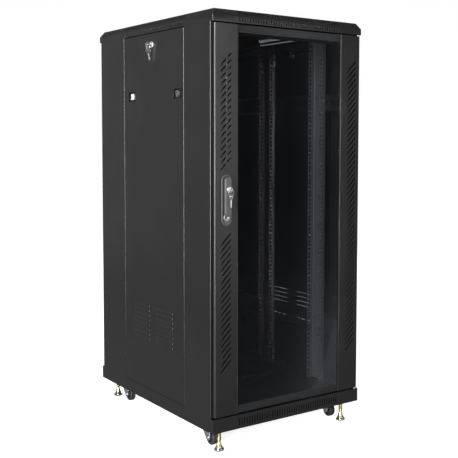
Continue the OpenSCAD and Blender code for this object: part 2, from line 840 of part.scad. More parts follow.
// Removable side panel, drawn for the left side
module side_panel() {
    z0 = base_top + 1;
    z1 = roof_z - 3;
    y0 = panel_front + 1.5;
    y1 = panel_rear - 1.5;
    fold = 8;
    top_fold = 6;
    pocket = [pocket_l / 2, pocket_h / 2];
    color(black) difference() {
        union() {
            box([-hw, y0, z0], [-hw + sheet, y1, z1]);
            for (y = [y0, y1 - sheet]) box([-hw, y, z0], [-hw + sheet + fold, y + sheet, z1]);
            box([-hw, y0, z1 - sheet], [-hw + sheet + top_fold, y1, z1]);
            box([-hw, y0, z0], [-hw + sheet + fold, y1, z0 + sheet]);
            for (y = latch_y)
                box([-hw, y - pocket[0] - sheet, latch_z - pocket[1] - sheet],
                    [-hw + pocket_d + sheet, y + pocket[0] + sheet, latch_z + pocket[1] + sheet]);
            side_louvre_sites() louvres(side_louvre_len, louvre_count);
        }
        for (y = latch_y) {
            box([-hw - eps, y - pocket[0], latch_z - pocket[1]],
                [-hw + pocket_d, y + pocket[0], latch_z + pocket[1]]);
            box([-hw, y - latch_slot / 2, latch_z - 7],
                [-hw + pocket_d + sheet + eps, y + latch_slot / 2, latch_z + 7]);
        }
        side_louvre_sites() louvre_cuts(side_louvre_len, louvre_count);
        rod_x([-hw - eps, lock_y, side_lock_z], barrel_r, sheet + 2 * eps);
    }
}

module side_louvre_sites() {
    for (s = [-1, 1])
        translate([-hw, lock_y + s * side_louvre_y, side_louvre_z]) rotate([90, 0, -90]) children();
}

// A slide latch, drawn for the front left one at the origin of its pocket; reach is the bolt's tip
module latch(reach) {
    floor_x = -hw + pocket_d;
    gap = 0.3;
    bolt_x = floor_x + sheet + gap;
    stem_end = latch_slot / 2 - latch_travel - 0.5;
    color(zinc) union() {
        // grip with its finger ribs, stem through the slot, and bolt
        box([-hw + 1, -9, -11], [floor_x - gap, 13, 11]);
        for (y = [-6:4:10]) box([-hw, y, -11], [-hw + 1.5, y + 1.6, 11]);
        box([floor_x - 1, -latch_slot / 2 + 0.5, -6], [floor_x + sheet + 1, stem_end, 6]);
        box([bolt_x, -reach, -9], [bolt_x + 2.4, stem_end, 9]);
    }
}

module latch_at(left, front) {
    y = front ? latch_y[0] : latch_y[1];
    tip = front ? y - panel_front - 1 : panel_rear - y - 1;
    on_side(left) translate([0, y, latch_z]) on_end(front) latch(tip);
}

module at_side_lock(left) {
    on_side(left) translate([-hw, lock_y, side_lock_z]) rotate([0, 0, -90]) children();
}

module side_lock_barrel(left) {
    color(zinc) at_side_lock(left) lock_barrel(side_barrel);
}

module side_lock_plug(left) {
    color(zinc) at_side_lock(left) cam_plug(side_barrel, 24, 0);
}

module side_key(left) {
    color(zinc) at_side_lock(left) translate([0, -barrel_flange - plug_proud, 0])
        flat_key(key_in);
}

module side_spare_key() {
    color(zinc) at_side_lock(true) translate([0, -barrel_flange - plug_proud - key_hole, 0])
        spare_key_on_ring(key_blade);
}

// ---- casters and feet ----

module caster_plates() {
    color(zinc) caster_sites() union() {
        box([-30, -30, plate_lo_z], [30, 30, foot_h]);
        rod_z([0, 0, king_lo], king_r, foot_h - king_lo);
        rod_z([0, 0, king_lo - 2], king_r + 2.5, 2.2);
        for (x = [-23, 23], y = [-23, 23]) rod_z([x, y, plate_lo_z - 3], 4.5, 3.5);
    }
}

// Swivel fork with its race and axle, at its site
module caster_fork() {
    race_top = plate_lo_z - 0.3;
    crown_z = king_lo + 0.5;
    leg_x = 13;
    leg_t = 2.5;
    y = -caster_trail;
    eye_r = 9;
    color(zinc) difference() {
        union() {
            rod_z([0, 0, crown_z + 2], 17, race_top - crown_z - 2);
            box([-leg_x - leg_t, -20, crown_z], [leg_x + leg_t, 17, crown_z + 3]);
            for (x = [-leg_x - leg_t, leg_x])
                translate([x, 0, 0]) rotate([90, 0, 90]) linear_extrude(leg_t) union() {
                    polygon([[-20, crown_z + 3], [17, crown_z + 3], [17, crown_z - 6],
                        [y + eye_r, axle_z - 4], [y - eye_r, axle_z], [y - eye_r, axle_z + 8]]);
                    translate([y, axle_z]) circle(eye_r);
                }
            rod_x([-leg_x - leg_t - 3, y, axle_z], axle_r, 2 * (leg_x + leg_t + 3));
            for (x = [-leg_x - leg_t - 4, leg_x + leg_t]) rod_x([x, y, axle_z], 6.5, 4);
        }
        rod_z([0, 0, king_lo - 5], king_r + run, race_top);
    }
}

// Wheel: tread and recessed hub, at its site
module caster_wheel() {
    half = 10;
    hub_r = 8;
    rim_r = wheel_r - 6;
    color([0.1, 0.1, 0.1])
        translate([0, -caster_trail, axle_z]) rotate([0, 90, 0]) rotate_extrude()
            polygon([[axle_r + run, -half - 2], [hub_r, -half - 2], [hub_r, -half + 2],
                [rim_r - 1, -half + 2], [rim_r, -half], [wheel_r - 2, -half],
                [wheel_r, -half + 3], [wheel_r, half - 3], [wheel_r - 2, half],
                [rim_r, half], [rim_r - 1, half - 2], [hub_r, half - 2],
                [hub_r, half + 2], [axle_r + run, half + 2]]);
}

module at_caster(left, front) {
    translate([left ? -caster_x : caster_x, front ? -caster_y : caster_y, 0]) children();
}

// Levelling foot: pad, bell, waist and stud
module foot(left, front) {
    pad_r = 16;
    waist_r = stud_r - 2;
    stud_top = 88;
    color(gold)
        translate([left ? -foot_x : foot_x, front ? -foot_y : foot_y, 0]) rotate_extrude()
            polygon([[0, 0], [pad_r, 0], [pad_r, 6], [pad_r - 3, 11], [pad_r - 7, 16],
                [stud_r, 24], [waist_r, 29], [waist_r, 32], [stud_r, 34],
                [stud_r, stud_top], [0, stud_top]]);
}

// ---- assembly ----

base_frame();
top_frame();
top_cap();
cable_covers();
post_front(true);  // post_front_left
post_front(false);  // post_front_right
post_rear(true);  // post_rear_left
post_rear(false);  // post_rear_right
on_side(true) brace(brace_z[0]);  // brace_lower_left
on_side(false) brace(brace_z[0]);  // brace_lower_right
on_side(true) brace(brace_z[1]);  // brace_upper_left
on_side(false) brace(brace_z[1]);  // brace_upper_right
on_side(true) rail(rail_front_y);  // rail_front_left
on_side(false) rail(rail_front_y);  // rail_front_right
on_side(true) rail(rail_rear_y);  // rail_rear_left
on_side(false) rail(rail_rear_y);  // rail_rear_right
rail_bolts();
front_door_frame();
door_glass();
glass_seal();
hinge_pins();
handle_plate();
handle_hub();
handle_lever();
handle_lock_plug();
handle_key();
handle_spare_key();
lock_rod(1, door_hi + 2);  // lock_rod_upper
lock_rod(-1, door_lo - 2);  // lock_rod_lower
rod_guides();
rear_door();
rear_lock_barrel();
rear_lock_plug();
rear_key();
on_side(true) side_panel();  // side_panel_left
on_side(false) side_panel();  // side_panel_right
latch_at(true, true);  // latch_front_left
latch_at(false, true);  // latch_front_right
latch_at(true, false);  // latch_rear_left
latch_at(false, false);  // latch_rear_right
side_lock_barrel(true);  // side_lock_barrel_left
side_lock_barrel(false);  // side_lock_barrel_right
side_lock_plug(true);  // side_lock_plug_left
side_lock_plug(false);  // side_lock_plug_right
side_key(true);  // side_key_left
side_key(false);  // side_key_right
side_spare_key();
caster_plates();
at_caster(true, true) caster_fork();  // caster_fork_front_left
at_caster(false, true) caster_fork();  // caster_fork_front_right
at_caster(true, false) caster_fork();  // caster_fork_rear_left
at_caster(false, false) caster_fork();  // caster_fork_rear_right
at_caster(true, true) caster_wheel();  // caster_wheel_front_left
at_caster(false, true) caster_wheel();  // caster_wheel_front_right
at_caster(true, false) caster_wheel();  // caster_wheel_rear_left
at_caster(false, false) caster_wheel();  // caster_wheel_rear_right
foot(true, true);  // foot_front_left
foot(false, true);  // foot_front_right
foot(true, false);  // foot_rear_left
foot(false, false);  // foot_rear_right
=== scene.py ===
import json
from math import atan2, cos, pi, radians, sin, sqrt, tan

import bmesh
import bpy
from mathutils import Matrix, Vector

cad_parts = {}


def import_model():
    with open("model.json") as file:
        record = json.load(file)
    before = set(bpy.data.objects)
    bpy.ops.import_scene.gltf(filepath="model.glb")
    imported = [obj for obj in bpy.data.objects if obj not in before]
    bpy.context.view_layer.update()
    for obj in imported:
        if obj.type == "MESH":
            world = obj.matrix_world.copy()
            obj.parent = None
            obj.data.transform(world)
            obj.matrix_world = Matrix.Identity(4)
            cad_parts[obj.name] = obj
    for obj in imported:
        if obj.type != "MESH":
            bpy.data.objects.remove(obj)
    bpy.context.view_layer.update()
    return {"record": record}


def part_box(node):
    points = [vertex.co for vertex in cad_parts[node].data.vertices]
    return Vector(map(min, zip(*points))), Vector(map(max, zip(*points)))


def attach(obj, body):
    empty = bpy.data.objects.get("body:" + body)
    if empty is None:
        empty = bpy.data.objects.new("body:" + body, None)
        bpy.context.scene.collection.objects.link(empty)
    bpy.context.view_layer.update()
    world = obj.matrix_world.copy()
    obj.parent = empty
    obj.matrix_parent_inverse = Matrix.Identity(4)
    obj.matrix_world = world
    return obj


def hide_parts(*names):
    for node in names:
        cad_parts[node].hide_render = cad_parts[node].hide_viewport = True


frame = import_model()

MM = 0.001
SPLIT = {"x": (1, 2, 0), "y": (0, 2, 1), "z": (0, 1, 2)}

RECORD = frame["record"]
BODY_OF = {n: body for body, names in RECORD["behaviour"]["bodies"].items() for n in names}
SLOT_OF = {part["node"]: part["material_slot"] for part in RECORD["subparts"]}


# ---- outlines: lists of points in a plane ----


def rectangle(x0, y0, x1, y1):
    return [(x0, y0), (x1, y0), (x1, y1), (x0, y1)]


def circle(cx, cy, radius, steps=24):
    turns = [2 * pi * i / steps for i in range(steps)]
    return [(cx + radius * cos(a), cy + radius * sin(a)) for a in turns]


def arc(cx, cy, radius, start, end, steps):
    turns = [start + (end - start) * i / steps for i in range(steps + 1)]
    return [(cx + radius * cos(a), cy + radius * sin(a)) for a in turns]


def stadium(cx, cy, width, height, tilt=0.0, steps=8):
    """A round-ended slot about its centre, upright unless tilted."""
    radius = width / 2
    straight = height / 2 - radius
    points = arc(0, straight, radius, 0, pi, steps) + arc(0, -straight, radius, pi, 2 * pi, steps)
    c, s = cos(tilt), sin(tilt)
    return [(cx + x * c - y * s, cy + x * s + y * c) for x, y in points]


def rounded(points, radii, steps=5):
    """A closed outline with an arc of the given radius at each corner."""
    if not isinstance(radii, (list, tuple)):
        radii = [radii] * len(points)
    outline = []
    for i, point in enumerate(points):
        corner = Vector(point)
        back = (Vector(points[i - 1]) - corner).normalized()
        ahead = (Vector(points[(i + 1) % len(points)]) - corner).normalized()
        turn = back.angle(ahead)
        if radii[i] <= 0 or turn > pi - 0.01:
            outline.append(tuple(point))
            continue
        reach = radii[i] / tan(turn / 2)
        centre = corner + (back + ahead).normalized() * (radii[i] / sin(turn / 2))
        first = corner + back * reach - centre
        last = corner + ahead * reach - centre
        start = atan2(first.y, first.x)
        sweep = (atan2(last.y, last.x) - start + pi) % (2 * pi) - pi
        outline += arc(centre.x, centre.y, radii[i], start, start + sweep, steps)
    return outline


def folded(path, t, bend=1.2):
    """Outline of a sheet folded along a path, t thick to the left of the path's run."""
    points = [Vector(p) for p in path]
    runs = [(b - a).normalized() for a, b in zip(points, points[1:])]
    lefts = [Vector((-d.y, d.x)) for d in runs]
    bends = bend if isinstance(bend, (list, tuple)) else [bend] * (len(points) - 2)
    other = [points[0] + lefts[0] * t]
    near = [0]
    far = [0]
    for i in range(1, len(points) - 1):
        mitre = (lefts[i - 1] + lefts[i]).normalized()
        other.append(points[i] + mitre * (t / mitre.dot(lefts[i])))
        turns_left = runs[i - 1].cross(runs[i]) > 0
        outer, inner = bends[i - 1] + abs(t), bends[i - 1]
        near.append(outer if turns_left == (t > 0) else inner)
        far.append(inner if turns_left == (t > 0) else outer)
    other.append(points[-1] + lefts[-1] * t)
    outline = [tuple(p) for p in points + other[::-1]]
    return rounded(outline, near + [0] + (far + [0])[::-1])


# ---- shapes: functions that add a closed form to a bmesh ----


def bridge(shape, one, two):
    """Faces between two rings, either of which may be a single point."""
    steps = max(len(one), len(two))
    for i in range(steps):
        j = (i + 1) % steps
        ring = [one[i % len(one)], one[j % len(one)], two[j % len(two)], two[i % len(two)]]
        corners = list(dict.fromkeys(ring))
        if len(corners) > 2:
            shape.faces.new(corners)


def skin(shape, loops):
    """Faces between loops of vertices in a row, closed at both ends."""
    for one, two in zip(loops, loops[1:]):
        bridge(shape, one, two)
    shape.faces.new(loops[0])
    shape.faces.new(loops[-1][::-1])


def loft(rings, axis):
    """Outlines of equal length at rising levels along an axis."""
    a, b, c = SPLIT[axis]

    def add(shape):
        loops = []
        for outline, level in rings:
            loop = []
            for u, v in outline:
                point = [0, 0, 0]
                point[a], point[b], point[c] = u, v, level
                loop.append(shape.verts.new(point))
            loops.append(loop)
        skin(shape, loops)

    return add


def prism(outline, axis, lo, hi):
    return loft([(outline, lo), (outline, hi)], axis)


def slab(corners, radii, axis, lo, hi):
    """A rectangle with rounded corners, thick from lo to hi."""
    return prism(rounded(rectangle(*corners), radii), axis, lo, hi)


def bore(x, y, radius, axis, lo, hi, steps=24):
    return prism(circle(x, y, radius, steps), axis, lo, hi)


def block(lo, hi):
    return prism(rectangle(lo[0], lo[1], hi[0], hi[1]), "z", lo[2], hi[2])


def lathe(profile, axis, centre, turns=40):
    """A (radius, height) profile turned round an axis; a bored one is closed on itself."""
    a, b, c = SPLIT[axis]

    def add(shape):
        rings = []
        for radius, height in profile:
            ring = []
            for i in range(turns if radius > 0 else 1):
                point = list(centre)
                point[a] += radius * cos(2 * pi * i / turns)
                point[b] += radius * sin(2 * pi * i / turns)
                point[c] += height
                ring.append(shape.verts.new(point))
            rings.append(ring)
        pairs = list(zip(rings, rings[1:]))
        if profile[0][0] > 0:
            pairs.append((rings[-1], rings[0]))
        for one, two in pairs:
            bridge(shape, one, two)

    return add


def pin(axis, centre, radius, length, turns=32):
    """A plain round bar from a point along an axis."""
    return lathe([(0, 0), (radius, 0), (radius, length), (0, length)], axis, centre, turns)


def hexagon(cx, cy, radius):
    return circle(cx, cy, radius, 6)


def four(dx, dy):
    """The corners of a rectangle about the origin."""
    return [(x, y) for x in (-dx, dx) for y in (-dy, dy)]


def moved(matrix, *shapes):
    """The shapes after a move."""

    def add(shape):
        part = bmesh.new()
        for one in shapes:
            one(part)
        part.transform(matrix)
        mesh = bpy.data.meshes.new("moved")
        part.to_mesh(mesh)
        part.free()
        shape.from_mesh(mesh)
        bpy.data.meshes.remove(mesh)

    return add


def tube(points, radius, sides):
    """A round wire along points."""

    def add(shape):
        path = [Vector(p) for p in points]
        turns = [2 * pi * k / sides for k in range(sides)]
        rings = []
        side = None
        for i, point in enumerate(path):
            ahead = path[min(i + 1, len(path) - 1)]
            run = (ahead - path[max(i - 1, 0)]).normalized()
            if side is None:
                side = run.orthogonal().normalized()
            side = (side - run * side.dot(run)).normalized()
            up = run.cross(side)
            ring = [point + side * radius * cos(t) + up * radius * sin(t) for t in turns]
            rings.append([shape.verts.new(p) for p in ring])
        skin(shape, rings)

    return add


# ---- from shapes to meshes and pieces ----


def new_object(name, data):
    obj = bpy.data.objects.new(name, data)
    bpy.context.scene.collection.objects.link(obj)
    return obj


def loose(shapes):
    """A passing object of the shapes, for the modifiers to work on."""
    shape = bmesh.new()
    for add in shapes:
        add(shape)
    bmesh.ops.recalc_face_normals(shape, faces=shape.faces)
    mesh = bpy.data.meshes.new("loose")
    shape.to_mesh(mesh)
    shape.free()
    return new_object("loose", mesh)


def solid(shapes, cuts=(), edge=0.3, steps=2):
    """Mesh of the shapes joined, less the cuts, with its sharp edges rounded off."""
    body = loose(shapes[:1])
    helpers = []
    for operation, operands in (("UNION", shapes[1:]), ("DIFFERENCE", cuts)):
        if operands:
            helper = loose(operands)
            helpers.append(helper)
            step = body.modifiers.new(operation, "BOOLEAN")
            step.operation = operation
            step.solver = "EXACT"
            step.use_self = True
            step.object = helper
    if edge:
        ease = body.modifiers.new("ease", "BEVEL")
        ease.width = edge
        ease.segments = steps
        ease.limit_method = "ANGLE"
        ease.angle_limit = radians(38)
        ease.use_clamp_overlap = False
    depsgraph = bpy.context.evaluated_depsgraph_get()
    mesh = bpy.data.meshes.new_from_object(body.evaluated_get(depsgraph))
    for obj in [body] + helpers:
        data = obj.data
        bpy.data.objects.remove(obj)
        bpy.data.meshes.remove(data)
    return mesh


def plain(*shapes, edge=0.3):
    """Mesh of shapes joined without cuts; edge 0 leaves them as drawn."""
    return solid(shapes, (), edge)


def at(x, y, z):
    return Matrix.Translation((x, y, z))


def spun(angle, axis):
    return Matrix.Rotation(angle, 4, axis)


def shifted(meshes, matrix):
    copies = [mesh.copy() for mesh in meshes]
    for copy in copies:
        copy.transform(matrix)
    return copies


def mirrored(meshes, axis="x"):
    """Copies of the meshes on the other side of the cabinet."""
    copies = shifted(meshes, Matrix.Scale(-1, 4, {"x": (1, 0, 0), "y": (0, 1, 0)}[axis]))
    for copy in copies:
        copy.flip_normals()
    return copies


def piece(name, meshes, nodes, finish=None, stands_for=True):
    """One visible object on the body of its CAD nodes, which it stands for."""
    nodes = [nodes] if isinstance(nodes, str) else list(nodes)
    joined = bmesh.new()
    for mesh in meshes:
        joined.from_mesh(mesh)
    joined.transform(Matrix.Scale(MM, 4))
    mesh = bpy.data.meshes.new(name)
    joined.to_mesh(mesh)
    joined.free()
    mesh.materials.clear()
    mesh.shade_smooth()
    mesh.set_sharp_from_angle(angle=radians(52))
    obj = new_object(name, mesh)
    even = obj.modifiers.new("even", "WEIGHTED_NORMAL")
    even.keep_sharp = True
    look = finish or SLOT_OF[nodes[0]]
    mesh.materials.append(FINISH[look])
    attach(obj, BODY_OF[nodes[0]])
    if stands_for:
        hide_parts(*nodes)
    return obj


def both_sides(stem, meshes, finish=None):
    """A left piece and its mirror image on the right."""
    for side, some in (("left", meshes), ("right", mirrored(meshes))):
        node = f"{stem}_{side}"
        piece(node + "_skin", some, node, finish)


# ---- material nodes ----


def blank(name):
    material = bpy.data.materials.new(name)
    material.use_nodes = True
    tree = material.node_tree
    return material, tree, tree.nodes["Principled BSDF"]


def feed(tree, socket, value):
    """Link another node's output to an input, or set the input's own value."""
    if isinstance(value, bpy.types.NodeSocket):
        tree.links.new(value, socket)
    else:
        socket.default_value = value


def fill(tree, node, **inputs):
    """Feed a node's inputs by name, with _ for a space."""
    for key, value in inputs.items():
        feed(tree, node.inputs[key.replace("_", " ")], value)


def grow(tree, kind, settings=None, first=(), **inputs):
    """A new node with its settings; its first inputs are fed in order and others by name."""
    node = tree.nodes.new(kind)
    for key, value in (settings or {}).items():
        setattr(node, key, value)
    for index, value in enumerate(first):
        feed(tree, node.inputs[index], value)
    fill(tree, node, **inputs)
    return node


def speckle(tree, scale, detail=3.0, roughness=0.55, stretch=(1, 1, 1)):
    """Noise over the object's own coordinates, so that it travels with the piece."""
    place = grow(tree, "ShaderNodeTexCoord")
    scaled = grow(tree, "ShaderNodeMapping", Vector=place.outputs["Object"], Scale=stretch)
    noise = grow(tree, "ShaderNodeTexNoise", Vector=scaled.outputs["Vector"], Scale=scale,
                 Detail=detail, Roughness=roughness)
    return noise.outputs["Fac"]


def spread(tree, source, lo, hi, low=0.3, high=0.7):
    """A socket's values from low to high spread over lo to hi."""
    node = grow(tree, "ShaderNodeMapRange", Value=source, From_Min=low, From_Max=high,
                To_Min=lo, To_Max=hi)
    return node.outputs["Result"]


def clouding(tree, scale, detail, most=1):
    return spread(tree, speckle(tree, scale, detail), 0, most)


def blend_colour(tree, share, one, two):
    node = grow(tree, "ShaderNodeMix", {"data_type": "RGBA"})
    for index, value in ((0, share), (6, one), (7, two)):
        feed(tree, node.inputs[index], value)
    return node.outputs[2]


def times(tree, one, two):
    return grow(tree, "ShaderNodeMath", {"operation": "MULTIPLY"}, (one, two)).outputs[0]


def scaled_tone(tone, factor=1, lift=0.0):
    return [c * factor + lift for c in tone] + [1]


def edge_wear(tree, radius, amount):
    """A mask along the outer edges, broken up by noise."""
    eased = grow(tree, "ShaderNodeBevel", {"samples": 4}, Radius=radius)
    real = grow(tree, "ShaderNodeNewGeometry")
    turned = grow(tree, "ShaderNodeVectorMath", {"operation": "DOT_PRODUCT"},
                  (eased.outputs["Normal"], real.outputs["Normal"]))
    mask = spread(tree, turned.outputs["Value"], amount, 0.0, 0.8, 0.985)
    return times(tree, mask, spread(tree, speckle(tree, 160), 0.1, 1.0, 0.4, 0.65))


def rough_and_bump(tree, shader, roughness, swing, scale, height, stretch=(1, 1, 1)):
    grain = speckle(tree, scale, 2.0, 0.5, stretch)
    cloud = speckle(tree, 9.0, 4.0)
    gloss = spread(tree, cloud, roughness - swing, roughness + swing)
    bump = grow(tree, "ShaderNodeBump", Height=grain, Distance=height, Strength=0.6)
    fill(tree, shader, Roughness=gloss, Normal=bump.outputs["Normal"])


def powder_coat(name, tone, roughness, grain, wear=0.5):
    """Satin powder coat: fine orange peel, faint clouding, paint thinned along the edges."""
    material, tree, shader = blank(name)
    mottle = clouding(tree, 6.0, 5.0)
    clouds = blend_colour(tree, mottle, scaled_tone(tone, 0.86), scaled_tone(tone, 1.14))
    thinned = scaled_tone(tone, 2.6, 0.012)
    colour = blend_colour(tree, edge_wear(tree, 0.0012, wear), clouds, thinned)
    fill(tree, shader, Base_Color=colour, Specular_IOR_Level=0.5)
    rough_and_bump(tree, shader, roughness, 0.05, grain, 0.00006)
    return material


def plated(name, tone, roughness, swing, grain, height, stretch=(1, 1, 1), patina=0.8):
    """Plated or polished metal with a mottled tone."""
    material, tree, shader = blank(name)
    mottle = clouding(tree, 70.0, 5.0)
    colour = blend_colour(tree, mottle, scaled_tone(tone, patina), scaled_tone(tone))
    worn = blend_colour(tree, edge_wear(tree, 0.0006, 0.6), colour, [0.9, 0.9, 0.9, 1])
    fill(tree, shader, Base_Color=worn, Metallic=1.0)
    rough_and_bump(tree, shader, roughness, swing, grain, height, stretch)
    return material


def rubbery(name, tone, roughness):
    material, tree, shader = blank(name)
    dust = clouding(tree, 45.0, 6.0, 0.7)
    colour = blend_colour(tree, dust, scaled_tone(tone), scaled_tone(tone, 1.7, 0.008))
    fill(tree, shader, Base_Color=colour)
    rough_and_bump(tree, shader, roughness, 0.06, 1400.0, 0.0001)
    return material


def smoked_glass(name):
    """Tinted toughened glass: light passes straight through its tint, with a glossy face."""
    material, tree, shader = blank(name)
    tree.nodes.remove(shader)
    cast = clouding(tree, 3.0, 2.0)
    tint = blend_colour(tree, cast, [0.84, 0.85, 0.87, 1], [0.88, 0.89, 0.91, 1])
    through = grow(tree, "ShaderNodeBsdfTransparent", Color=tint)
    film = spread(tree, speckle(tree, 14.0, 6.0), 0.01, 0.05)
    gloss = grow(tree, "ShaderNodeBsdfGlossy", Roughness=film, Color=[0.9, 0.92, 0.95, 1])
    fresnel = grow(tree, "ShaderNodeFresnel", IOR=1.5)
    share = times(tree, fresnel.outputs["Fac"], 0.18)
    mix = grow(tree, "ShaderNodeMixShader", None, (share, through.outputs[0], gloss.outputs[0]))
    fill(tree, tree.nodes["Material Output"], Surface=mix.outputs[0])
    return material


BLACK = (0.0055, 0.0055, 0.0058)
FORMS = {
    "frame_paint": (powder_coat, BLACK, 0.32, 900.0),
    "panel_paint": (powder_coat, BLACK, 0.34, 800.0),
    "rail_paint": (powder_coat, (0.05, 0.05, 0.052), 0.36, 1100.0, 0.7),
    "tinted_glass": (smoked_glass,),
    "seal_rubber": (rubbery, (0.012, 0.012, 0.012), 0.7),
    "handle_grey": (powder_coat, (0.055, 0.055, 0.058), 0.33, 1300.0, 0.8),
    "zinc": (plated, (0.62, 0.64, 0.67), 0.33, 0.07, 500.0, 0.00004),
    "black_zinc": (plated, (0.10, 0.10, 0.105), 0.36, 0.07, 500.0, 0.00004),
    "chrome": (plated, (0.78, 0.79, 0.8), 0.14, 0.05, 260.0, 0.00002, (1, 1, 1), 0.92),
    "key_steel": (plated, (0.70, 0.69, 0.66), 0.27, 0.07, 900.0, 0.00004, (1, 0.08, 1)),
    "wheel_rubber": (rubbery, (0.018, 0.018, 0.019), 0.55),
    "yellow_zinc": (plated, (0.78, 0.66, 0.38), 0.30, 0.08, 420.0, 0.00004, (1, 1, 1), 0.72),
}
FINISH = {name: form(name, *values) for name, (form, *values) in FORMS.items()}


# ---- places, all from the CAD frame ----


def reach(node):
    """Lowest and highest corner of a CAD node in millimetres."""
    lo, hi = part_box(node)
    return lo / MM, hi / MM


def middle(node):
    """Centre of a CAD node's box in millimetres."""
    return [(a + b) / 2 for a, b in zip(*reach(node))]


BASE_LO, BASE_HI = reach("base_frame")
CAP_LO, CAP_HI = reach("top_cap")
DOOR_LO, DOOR_HI = reach("front_door_frame")
GLASS_LO, GLASS_HI = reach("door_glass")
PANEL_LO, PANEL_HI = reach("side_panel_left")
RAIL_LO, RAIL_HI = reach("rail_front_left")
REAR_RAIL_LO, REAR_RAIL_HI = reach("rail_rear_left")
BRACE_LO, BRACE_HI = reach("brace_lower_left")
PLATE_LO, PLATE_HI = reach("handle_plate")
KING_LO, KING_HI = reach("caster_plates")
WHEEL_LO, WHEEL_HI = reach("caster_wheel_front_left")

HALF_W = BASE_HI.x
HALF_D = BASE_HI.y
FLOOR = BASE_HI.z
ROOF = CAP_LO.z
SHEET = 1.5
HEAVY = 2.0
OVER = 1.0
PIN_X = middle("hinge_pins")[0]
PIN_Y = HALF_D - 7
LOCK_Y, LOCK_Z = middle("side_lock_barrel_left")[1:]
REAR_LOCK_X, _, REAR_LOCK_Z = middle("rear_lock_barrel")
HANDLE_X = middle("handle_lever")[0]
HANDLE_Z = middle("handle_hub")[2]
ROD_SHIFT = 11
ROD_Y = -(HALF_D - 13)
LOWER_BRACE_Z = middle("brace_lower_left")[2]
UPPER_BRACE_Z = middle("brace_upper_left")[2]
LATCH_Z = middle("latch_front_left")[2]
FRONT_LATCH_Y = -188
REAR_LATCH_Y = 135
PANEL_FRONT = PANEL_LO.y - SHEET
PANEL_REAR = PANEL_HI.y + SHEET
PIN_BORE = 3.05
BOLT_BORE = 3.25
ROD_BORE = 4.05
SPINDLE_BORE = 8.05
BARREL_BORE = 9.5


# ---- base and roof ----


def inset_plan(inset, corner=3.0):
    plan = rectangle(-HALF_W + inset, -HALF_D + inset, HALF_W - inset, HALF_D - inset)
    return rounded(plan, max(corner - inset, 0.8), 4)


def air_row(axis, places, z0, height):
    """A row of upright air slots through both walls that face along an axis."""
    half = (HALF_D if axis == "y" else HALF_W) + OVER
    depth = 24
    cuts = []
    for p in places:
        slot = stadium(p, z0 + height / 2, 4, height)
        cuts.append(prism(slot, axis, -half, -half + depth))
        cuts.append(prism(slot, axis, half - depth, half))
    return cuts


def hinge_and_rod_holes(z0, z1, rod_x):
    holes = [bore(PIN_X, y, PIN_BORE, "z", z0, z1) for y in (-PIN_Y, PIN_Y)]
    return holes + [bore(rod_x, ROD_Y, 6, "z", z0, z1)]


CABLE_HOLE = (-150, 215, 150, 305)


def cable_hole(z0, z1):
    return slab(CABLE_HOLE, 6, "z", z0, z1)


BASE_SLOT = 25
CAP_SLOT = 12
ROW_X = range(-200, 201, 10)
ROW_Y = range(-224, 197, 10)
FLOOR_ROW_Y = range(-300, 201, 10)
FLOOR_ROWS_X = (-270, 270)
UNDER_SIDE = 25
UNDER_END = 95
THROUGH_FLOOR = (FLOOR - HEAVY - OVER, FLOOR + OVER)
TRAY = (-190, -290, 190, -42)
SUNK = FLOOR - 10


def base():
    low = BASE_LO.z
    x, y = HALF_W - UNDER_SIDE, HALF_D - UNDER_END
    cuts = [
        prism(inset_plan(HEAVY), "z", low + HEAVY, FLOOR - HEAVY),
        block((-x, -y, low - OVER), (x, y, low + HEAVY + OVER)),
        cable_hole(*THROUGH_FLOOR),
        tray_form(0, *THROUGH_FLOOR),
    ]
    cuts += air_row("y", ROW_X, low + 8, BASE_SLOT)
    for x in FLOOR_ROWS_X:
        for y in FLOOR_ROW_Y:
            cuts.append(prism(stadium(x, y, 5, 18, pi / 2), "z", *THROUGH_FLOOR))
    cuts += hinge_and_rod_holes(*THROUGH_FLOOR, HANDLE_X - ROD_SHIFT)
    shell = solid([prism(inset_plan(0), "z", low, FLOOR)], cuts, 0.5)
    tray = solid([tray_form(HEAVY, SUNK - HEAVY, FLOOR - 1)], [tray_form(0, SUNK, FLOOR + OVER)], 0.5)
    corner = base_corner(low)
    left = [corner] + mirrored([corner], "y")
    piece("base_shell", [shell, tray] + left + mirrored(left), "base_frame")


def tray_form(t, z0, z1):
    """The floor's sunken tray, grown by t on every side."""
    x0, y0, x1, y1 = TRAY
    return slab((x0 - t, y0 - t, x1 + t, y1 + t), 4 + t, "z", z0, z1)


def base_corner(low):
    """Gusset and nut over one levelling foot."""
    x, y, _ = middle("foot_front_left")
    corners = (-HALF_W + HEAVY, -HALF_D + HEAVY, -HALF_W + 110, -HALF_D + 160)
    gusset = slab(corners, [0, 10, 10, 10], "z", low + 0.2, low + 3)
    nut = prism(hexagon(x, y, 13), "z", low + 2.9, low + 15)
    return solid([gusset, nut], [bore(x, y, 7.05, "z", low - OVER, low + 16, 32)], 0.4)


CAP_LIP = (CAP_HI.z - ROOF) / 2
CAP_LEAN = 13


def roof_form(t):
    """The roof's outside, or its inside when t is the sheet: lip, bevel and top."""
    top = inset_plan(t + CAP_LEAN, 3.0 + CAP_LEAN)
    rings = [(inset_plan(t), ROOF + t), (inset_plan(t), ROOF + CAP_LIP), (top, CAP_HI.z - t)]
    return loft(rings, "z")


FAN_Y = (-160, 20)
FAN_R = 56
FAN_BOLT = 52.5
GRILLE_PITCH = 12


def fan_cuts(y, z0, z1):
    """A fan place's round grille of slots and its four bolt holes."""
    cuts = []
    for i in range(-4, 5):
        step = GRILLE_PITCH * i
        half = sqrt(FAN_R**2 - step**2)
        cuts.append(prism(stadium(0, y + step, 6, 2 * half, pi / 2), "z", z0, z1))
    return cuts + [bore(x, y + dy, 2.15, "z", z0, z1) for x, dy in four(FAN_BOLT, FAN_BOLT)]


